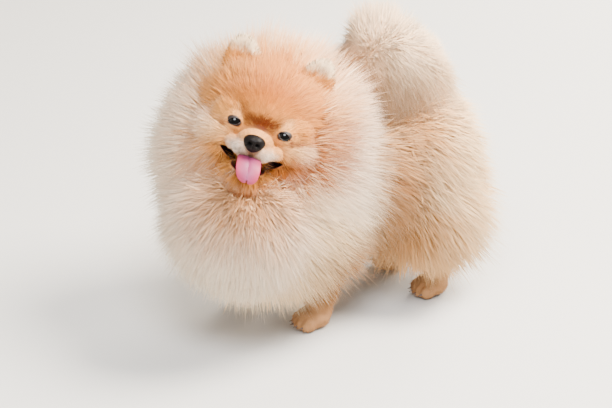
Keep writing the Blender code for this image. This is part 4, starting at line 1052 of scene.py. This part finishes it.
# Pomeranian guard hair over down: soft, matt, with a faint silky sheen
coatMaterial, tree, shader = newMaterial("pomeranianDown")
tint = addNode(tree, "ShaderNodeVertexColor", {"layer_name": "coatColour"})
coords = addNode(tree, "ShaderNodeTexCoord")
place = {"Vector": coords.outputs["Object"]}
patches = addNode(tree, "ShaderNodeTexNoise", {"Scale": 90, "Detail": 2.0}, place)
strands = addNode(tree, "ShaderNodeTexNoise", {"Scale": 900, "Detail": 2.0}, place)
both = addNode(tree, "ShaderNodeMath", {"operation": "ADD"}, {0: patches.outputs[0], 1: strands.outputs[0]})
tones = {"From Max": 2.0, "To Min": 0.88, "To Max": 1.12}
tone = addNode(tree, "ShaderNodeMapRange", tones, {"Value": both.outputs[0]})
scale = {0: tint.outputs[0], "Scale": tone.outputs[0]}
mixed = addNode(tree, "ShaderNodeVectorMath", {"operation": "SCALE"}, scale)
tree.links.new(mixed.outputs[0], shader.inputs["Base Color"])
shader.inputs["Roughness"].default_value = 0.75
shader.inputs["Specular IOR Level"].default_value = 0.1
shader.inputs["Sheen Weight"].default_value = 0.05
shader.inputs["Sheen Roughness"].default_value = 0.5

for index, name in enumerate(regions):
    pieceName = "face" if name == "head" else name
    for rings, kind, chosen in ((1, "Guard", ~isDown), (2, "Down", isDown)):
        members = np.flatnonzero((main == index) & chosen)
        if len(members) < 20:
            continue
        parts = math.ceil(len(members) * 6 * rings / coatPlan["pieceTriangles"])
        order = members[np.argsort(roots[members] @ np.array((0.8, 0.6, 0.2)))]
        for number, group in enumerate(np.array_split(order, parts)):
            piece = tuftMesh(f"{pieceName}{kind}{number + 1}", group, rings)
            dress(piece, coatMaterial, "ear" if name == "ear" else "coat")
        print("stage:", pieceName, kind.lower(), len(members), "tufts")

# Eyes: a glossy dark ball with its clear bulge, and a dark rim of lids round it

eyePlan = {
    "iris": "#0C0503", "white": "#1C100D", "pupil": "#030202",
    "rimGirth": 0.00048,  # metres
}
for side, node, which in ((1, "eye_left", "Left"), (-1, "eye_right", "Right")):
    centre = (side * pose["eyeSpread"], pose["eyeDepth"], 0)
    eye = addBall(onHead(centre), (pose["eyeRadius"],) * 3, headTurn @ turned(90, "X"), (64, 32))
    eye = joinAll("eye" + which, [eye])
    points = getPoints(eye)
    local = inHead(points) - np.array(centre)
    front = -local[:, 1] / pose["eyeRadius"]
    bulge = 1 + 0.06 * ramp(front, 0.72, 0.95)
    setPoints(eye, headOrigin + (local * bulge[:, None] + np.array(centre)) @ headAxes.T)
    makeRound(eye)
    colours = np.tile(linearColour(eyePlan["white"]), (len(points), 1))
    colours = mixIn(colours, eyePlan["iris"], ramp(front, 0.62, 0.72))
    colours = mixIn(colours, eyePlan["pupil"], ramp(front, 0.84, 0.88))
    addColours(eye, "eyeColour", colours)
    flecks = ("ShaderNodeTexNoise", {"Scale": 1400, "Detail": 3.0})
    eyeMaterial, tree, shader = grainMaterial(  # wet and clear, so that a light shows as one sharp point
        "moistEye" + which, flecks, tint=("eyeColour", 0.6, 1.4),
        sockets={"Roughness": 0.06, "IOR": 1.37, "Specular IOR Level": 0.34},
    )
    dress(eye, eyeMaterial, "eye", node)

creases = ("ShaderNodeTexNoise", {"Scale": 1100, "Detail": 3.0})
lidMaterial, tree, shader = grainMaterial(  # thin dark skin, damp at its edge
    "moistLidSkin", creases, blend=("#0E0706", "#26140F"), bump=(0.3, 0.0003), sockets={"Roughness": 0.38}
)
lids = []
for side in (1, -1):
    bpy.ops.mesh.primitive_torus_add(major_segments=56, minor_segments=12, major_radius=1, minor_radius=0.25)
    lid = bpy.context.object
    ring = getPoints(lid)
    around = np.arctan2(ring[:, 1], ring[:, 0])
    outward = np.hypot(ring[:, 0], ring[:, 1]) - 1
    wide, high = pose["lidOpening"]
    pinch = np.abs(np.cos(around)) ** 3
    girth = eyePlan["rimGirth"] * (1 + 0.35 * np.sin(around))
    sizeX = wide + outward / 0.25 * girth
    sizeZ = high * (1 - 0.25 * pinch) + outward / 0.25 * girth
    fx, fz = swing(sizeX * np.cos(around), sizeZ * np.sin(around), -pose["lidLean"] * side)
    radius = pose["eyeRadius"] * 1.085
    depth = np.sqrt(np.maximum(radius**2 - fx**2 - fz**2, 0))
    local = np.stack([
        side * pose["eyeSpread"] + fx, pose["eyeDepth"] - depth - ring[:, 2] / 0.25 * girth * 0.9, fz
    ], axis=1)
    setPoints(lid, headOrigin + local @ headAxes.T)
    lids.append(lid)
lidRing = joinAll("eyeLids", lids)
turnOutwards(lidRing)
makeRound(lidRing)
dress(lidRing, lidMaterial, "eye")
print("stage: eyes")

# Nose leather: wide on top, with comma nostrils and the groove below them

nosePlan = {
    "place": (0, -0.0262, -0.014), "radii": (0.0093, 0.0068, 0.0076),
    "nostril": (0.0033, -0.0008), "nostrilDepth": 0.0036,
    # pit: painted shade inside the nostrils
    "dark": "#060405", "light": "#18120F", "pit": "#1A1416",
}
nose = addBall(Vector(nosePlan["place"]), nosePlan["radii"], parts=(96, 64))
nose.matrix_world = nose.matrix_world @ turned(90, "X").to_4x4()
nose = joinAll("noseLeather", [nose])
points = getPoints(nose) - np.array(nosePlan["place"])
x, y, z = points.T
front = np.clip(-y / nosePlan["radii"][1], 0, 1)
x *= 1 + 0.26 * z / nosePlan["radii"][2]
nx, nz = nosePlan["nostril"]
hole = np.exp(-(((np.abs(x) - nx) / 0.0019) ** 2 + ((z - nz) / 0.0015) ** 2))
slit = (z - nz + 0.0012 + (np.abs(x) - nx) * 0.25) / 0.0007
comma = np.exp(-(((np.abs(x) - nx - 0.0022) / 0.002) ** 2 + slit ** 2))
groove = np.exp(-((x / 0.0006) ** 2)) * (1 - ramp(z, -0.001, 0.002))
y += front * (nosePlan["nostrilDepth"] * np.maximum(hole, comma * 0.6) + 0.0009 * groove)
y -= front * 0.0006 * np.exp(-(((np.abs(x) - 0.0042) / 0.003) ** 2 + ((z - 0.003) / 0.0024) ** 2))
setPoints(nose, headOrigin + (np.stack([x, y, z], axis=1) + np.array(nosePlan["place"])) @ headAxes.T)
makeRound(nose)
# the nostrils and their commas are darkened inside as painted shade
pit = np.clip(np.maximum(hole, comma * 0.8), 0, 1)
noseColours = mixIn(np.tile(linearColour("#FFFFFF"), (len(points), 1)), nosePlan["pit"], pit * front)
addColours(nose, "noseShade", noseColours)
noseMaterial, tree, shader = newMaterial("moistNoseLeather")  # pebbled and moist
shade = addNode(tree, "ShaderNodeVertexColor", {"layer_name": "noseShade"})
coords = addNode(tree, "ShaderNodeTexCoord")
pebbles = {"Scale": 1500, "feature": "SMOOTH_F1"}
pebble = addNode(tree, "ShaderNodeTexVoronoi", pebbles, {"Vector": coords.outputs["Object"]})
tone = addNode(tree, "ShaderNodeMix", {"data_type": "RGBA"}, {0: pebble.outputs[0]})
tone.inputs[6].default_value = hexColour(nosePlan["dark"])
tone.inputs[7].default_value = hexColour(nosePlan["light"])
both = {0: tone.outputs[2], 1: shade.outputs[0]}
mixed = addNode(tree, "ShaderNodeVectorMath", {"operation": "MULTIPLY"}, both)
depth = {"Strength": 0.45, "Distance": 0.0003, "invert": True}
bump = addNode(tree, "ShaderNodeBump", depth, {"Height": pebble.outputs[0]})
tree.links.new(mixed.outputs[0], shader.inputs["Base Color"])
tree.links.new(bump.outputs[0], shader.inputs["Normal"])
shader.inputs["Roughness"].default_value = 0.42
shader.inputs["Specular IOR Level"].default_value = 0.1
dress(nose, noseMaterial, "nose", "nose")

# Tongue: soft and moist, hanging over the lower lip with its groove along the middle

tonguePlan = {
    "path": [
        ((0, 0.034, -0.034), 0.0072), ((0, 0.014, -0.0315), 0.008), ((0, -0.004, -0.0302), 0.0087),
        ((0, -0.0165, -0.03), 0.0093), ((0.001, -0.0245, -0.0335), 0.0097),
        ((0.0022, -0.028, -0.039), 0.0095), ((0.0038, -0.0284, -0.0455), 0.0054),
    ],
    "thickness": 0.0034, "edge": "#B62C50", "middle": "#943A60",
    # groove: painted shade along the middle groove; shadow: painted shade towards the back of the mouth
    "groove": "#7A3E5C", "shadow": "#5C2A48", "throat": "#7A3040",
}
rows, columns = 60, 24
bpy.ops.mesh.primitive_grid_add(x_subdivisions=columns, y_subdivisions=rows, size=2)
tongue = bpy.context.object
tongue.name = "tongue"
grid = getPoints(tongue)
across, along = grid[:, 0], (grid[:, 1] + 1) / 2
stations = np.array([(*p, w) for p, w in tonguePlan["path"]])
knots = np.linspace(0, 1, len(stations))


def smoothAlong(values, at):
    # a cubic through the stations
    slopes = np.gradient(values, knots, axis=0)
    k = np.clip(np.searchsorted(knots, at, side="right") - 1, 0, len(knots) - 2)
    span = knots[1]
    t = ((at - knots[k]) / span)[:, None]
    return (
        (2 * t**3 - 3 * t**2 + 1) * values[k] + (t**3 - 2 * t**2 + t) * span * slopes[k]
        + (-2 * t**3 + 3 * t**2) * values[k + 1] + (t**3 - t**2) * span * slopes[k + 1]
    )


middle = smoothAlong(stations, along)
after, before = (smoothAlong(stations, np.clip(along + step, 0, 1))[:, :3] for step in (0.01, -0.01))
ahead = unit(after - before)
sideways = np.tile((1.0, 0, 0), (len(ahead), 1))
upward = unit(np.cross(sideways, ahead))
upward *= np.sign(upward[:, 2:3] * 0.7 - upward[:, 1:2] * 0.7 + 1e-9)
endRound = np.sqrt(np.clip(1 - ((along - 0.86) / 0.14).clip(0, 1) ** 2, 0.0, 1))
half = np.where(along > 0.86, smoothAlong(stations, np.minimum(along, 0.86))[:, 3] * endRound, middle[:, 3])
dip = -0.0009 * np.exp(-((across / 0.16) ** 2)) * (1 - ramp(along, 0.8, 0.93)) - 0.001 * across**4
lift = dip + tonguePlan["thickness"] / 2
places = middle[:, :3] + sideways * (across * half)[:, None] + upward * lift[:, None]
setPoints(tongue, headOrigin + places @ headAxes.T)
tongueColours = np.tile(linearColour(tonguePlan["middle"]), (len(grid), 1))
# the middle groove and the back of the tongue are painted darker as their shade
for name, share in (
    ("edge", np.abs(across) ** 2), ("groove", np.exp(-((across / 0.08) ** 2)) * 0.7),
    ("shadow", 0.55 * (1 - ramp(along, 0.52, 0.8))), ("throat", 1 - ramp(along, 0.3, 0.52)),
):
    tongueColours = mixIn(tongueColours, tonguePlan[name], share)
addColours(tongue, "tongueColour", tongueColours)
applyModifier(tongue, "SOLIDIFY", thickness=tonguePlan["thickness"], offset=-1)
turnOutwards(tongue, merge=0.00002)
applyModifier(tongue, "SUBSURF", levels=1, render_levels=1)
makeRound(tongue)
papillae = ("ShaderNodeTexVoronoi", {"Scale": 1700})
tongueMaterial, tree, shader = grainMaterial(  # velvety papillae under a film of moisture
    "moistTongue", papillae, tint=("tongueColour", 1.06, 0.86), bump=(0.3, 0.0002),
    sockets={"Roughness": 0.48, "Specular IOR Level": 0.35},
)
dress(tongue, tongueMaterial, "tongue", "tongue")
print("stage: nose and tongue")

# Claws: modelled once, then copied to each toe

clawPlan = {
    "length": 0.006, "girth": 0.0014, "point": 0.0002, "ahead": 0.0078, "height": 0.0056,  # metres
    "colour": "#4A3A32", "tip": "#8A786A",
}
bpy.ops.mesh.primitive_cone_add(
    vertices=12, radius1=clawPlan["girth"], radius2=clawPlan["point"], depth=clawPlan["length"]
)
pattern = bpy.context.object
bpy.ops.object.mode_set(mode="EDIT")
bpy.ops.mesh.select_all(action="SELECT")
bpy.ops.mesh.subdivide(number_cuts=3)
bpy.ops.object.mode_set(mode="OBJECT")
points = getPoints(pattern)
rise = points[:, 2] / clawPlan["length"] + 0.5
points[:, 0] *= 0.75
points[:, 1] += 0.0016 * rise**2  # the tip curves down once the claw points ahead
setPoints(pattern, points)
claws = []
for (x, y), path in skinForms["legs"]:
    for k, reach in skinForms["toes"]:
        claw = pattern.copy()
        claw.data = pattern.data.copy()
        bpy.context.scene.collection.objects.link(claw)
        ahead = y - skinForms["pawAhead"] - reach - clawPlan["ahead"]
        place = onBody((x + k * skinForms["toeWidth"], ahead, clawPlan["height"]))
        claw.matrix_world = Matrix.Translation(place) @ Matrix.Rotation(math.radians(112), 4, "X")
        claws.append(claw)
bpy.data.objects.remove(pattern)
claws = joinAll("claws", claws)
makeRound(claws)
clawMaterial, tree, shader = grainMaterial(  # keratin in dark and pale streaks, a little shiny
    "horn", ("ShaderNodeTexNoise", {"Scale": 900, "Detail": 3.0}),
    blend=(clawPlan["colour"], clawPlan["tip"]), sockets={"Roughness": 0.4},
)
dress(claws, clawMaterial, "nose")
print("stage: claws")

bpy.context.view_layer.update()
meshes = {obj.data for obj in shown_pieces() if obj.type == "MESH"}
triangles = sum(len(mesh.loop_triangles) or len(mesh.polygons) * 2 for mesh in meshes)
print("stage: done, about", triangles, "triangles")
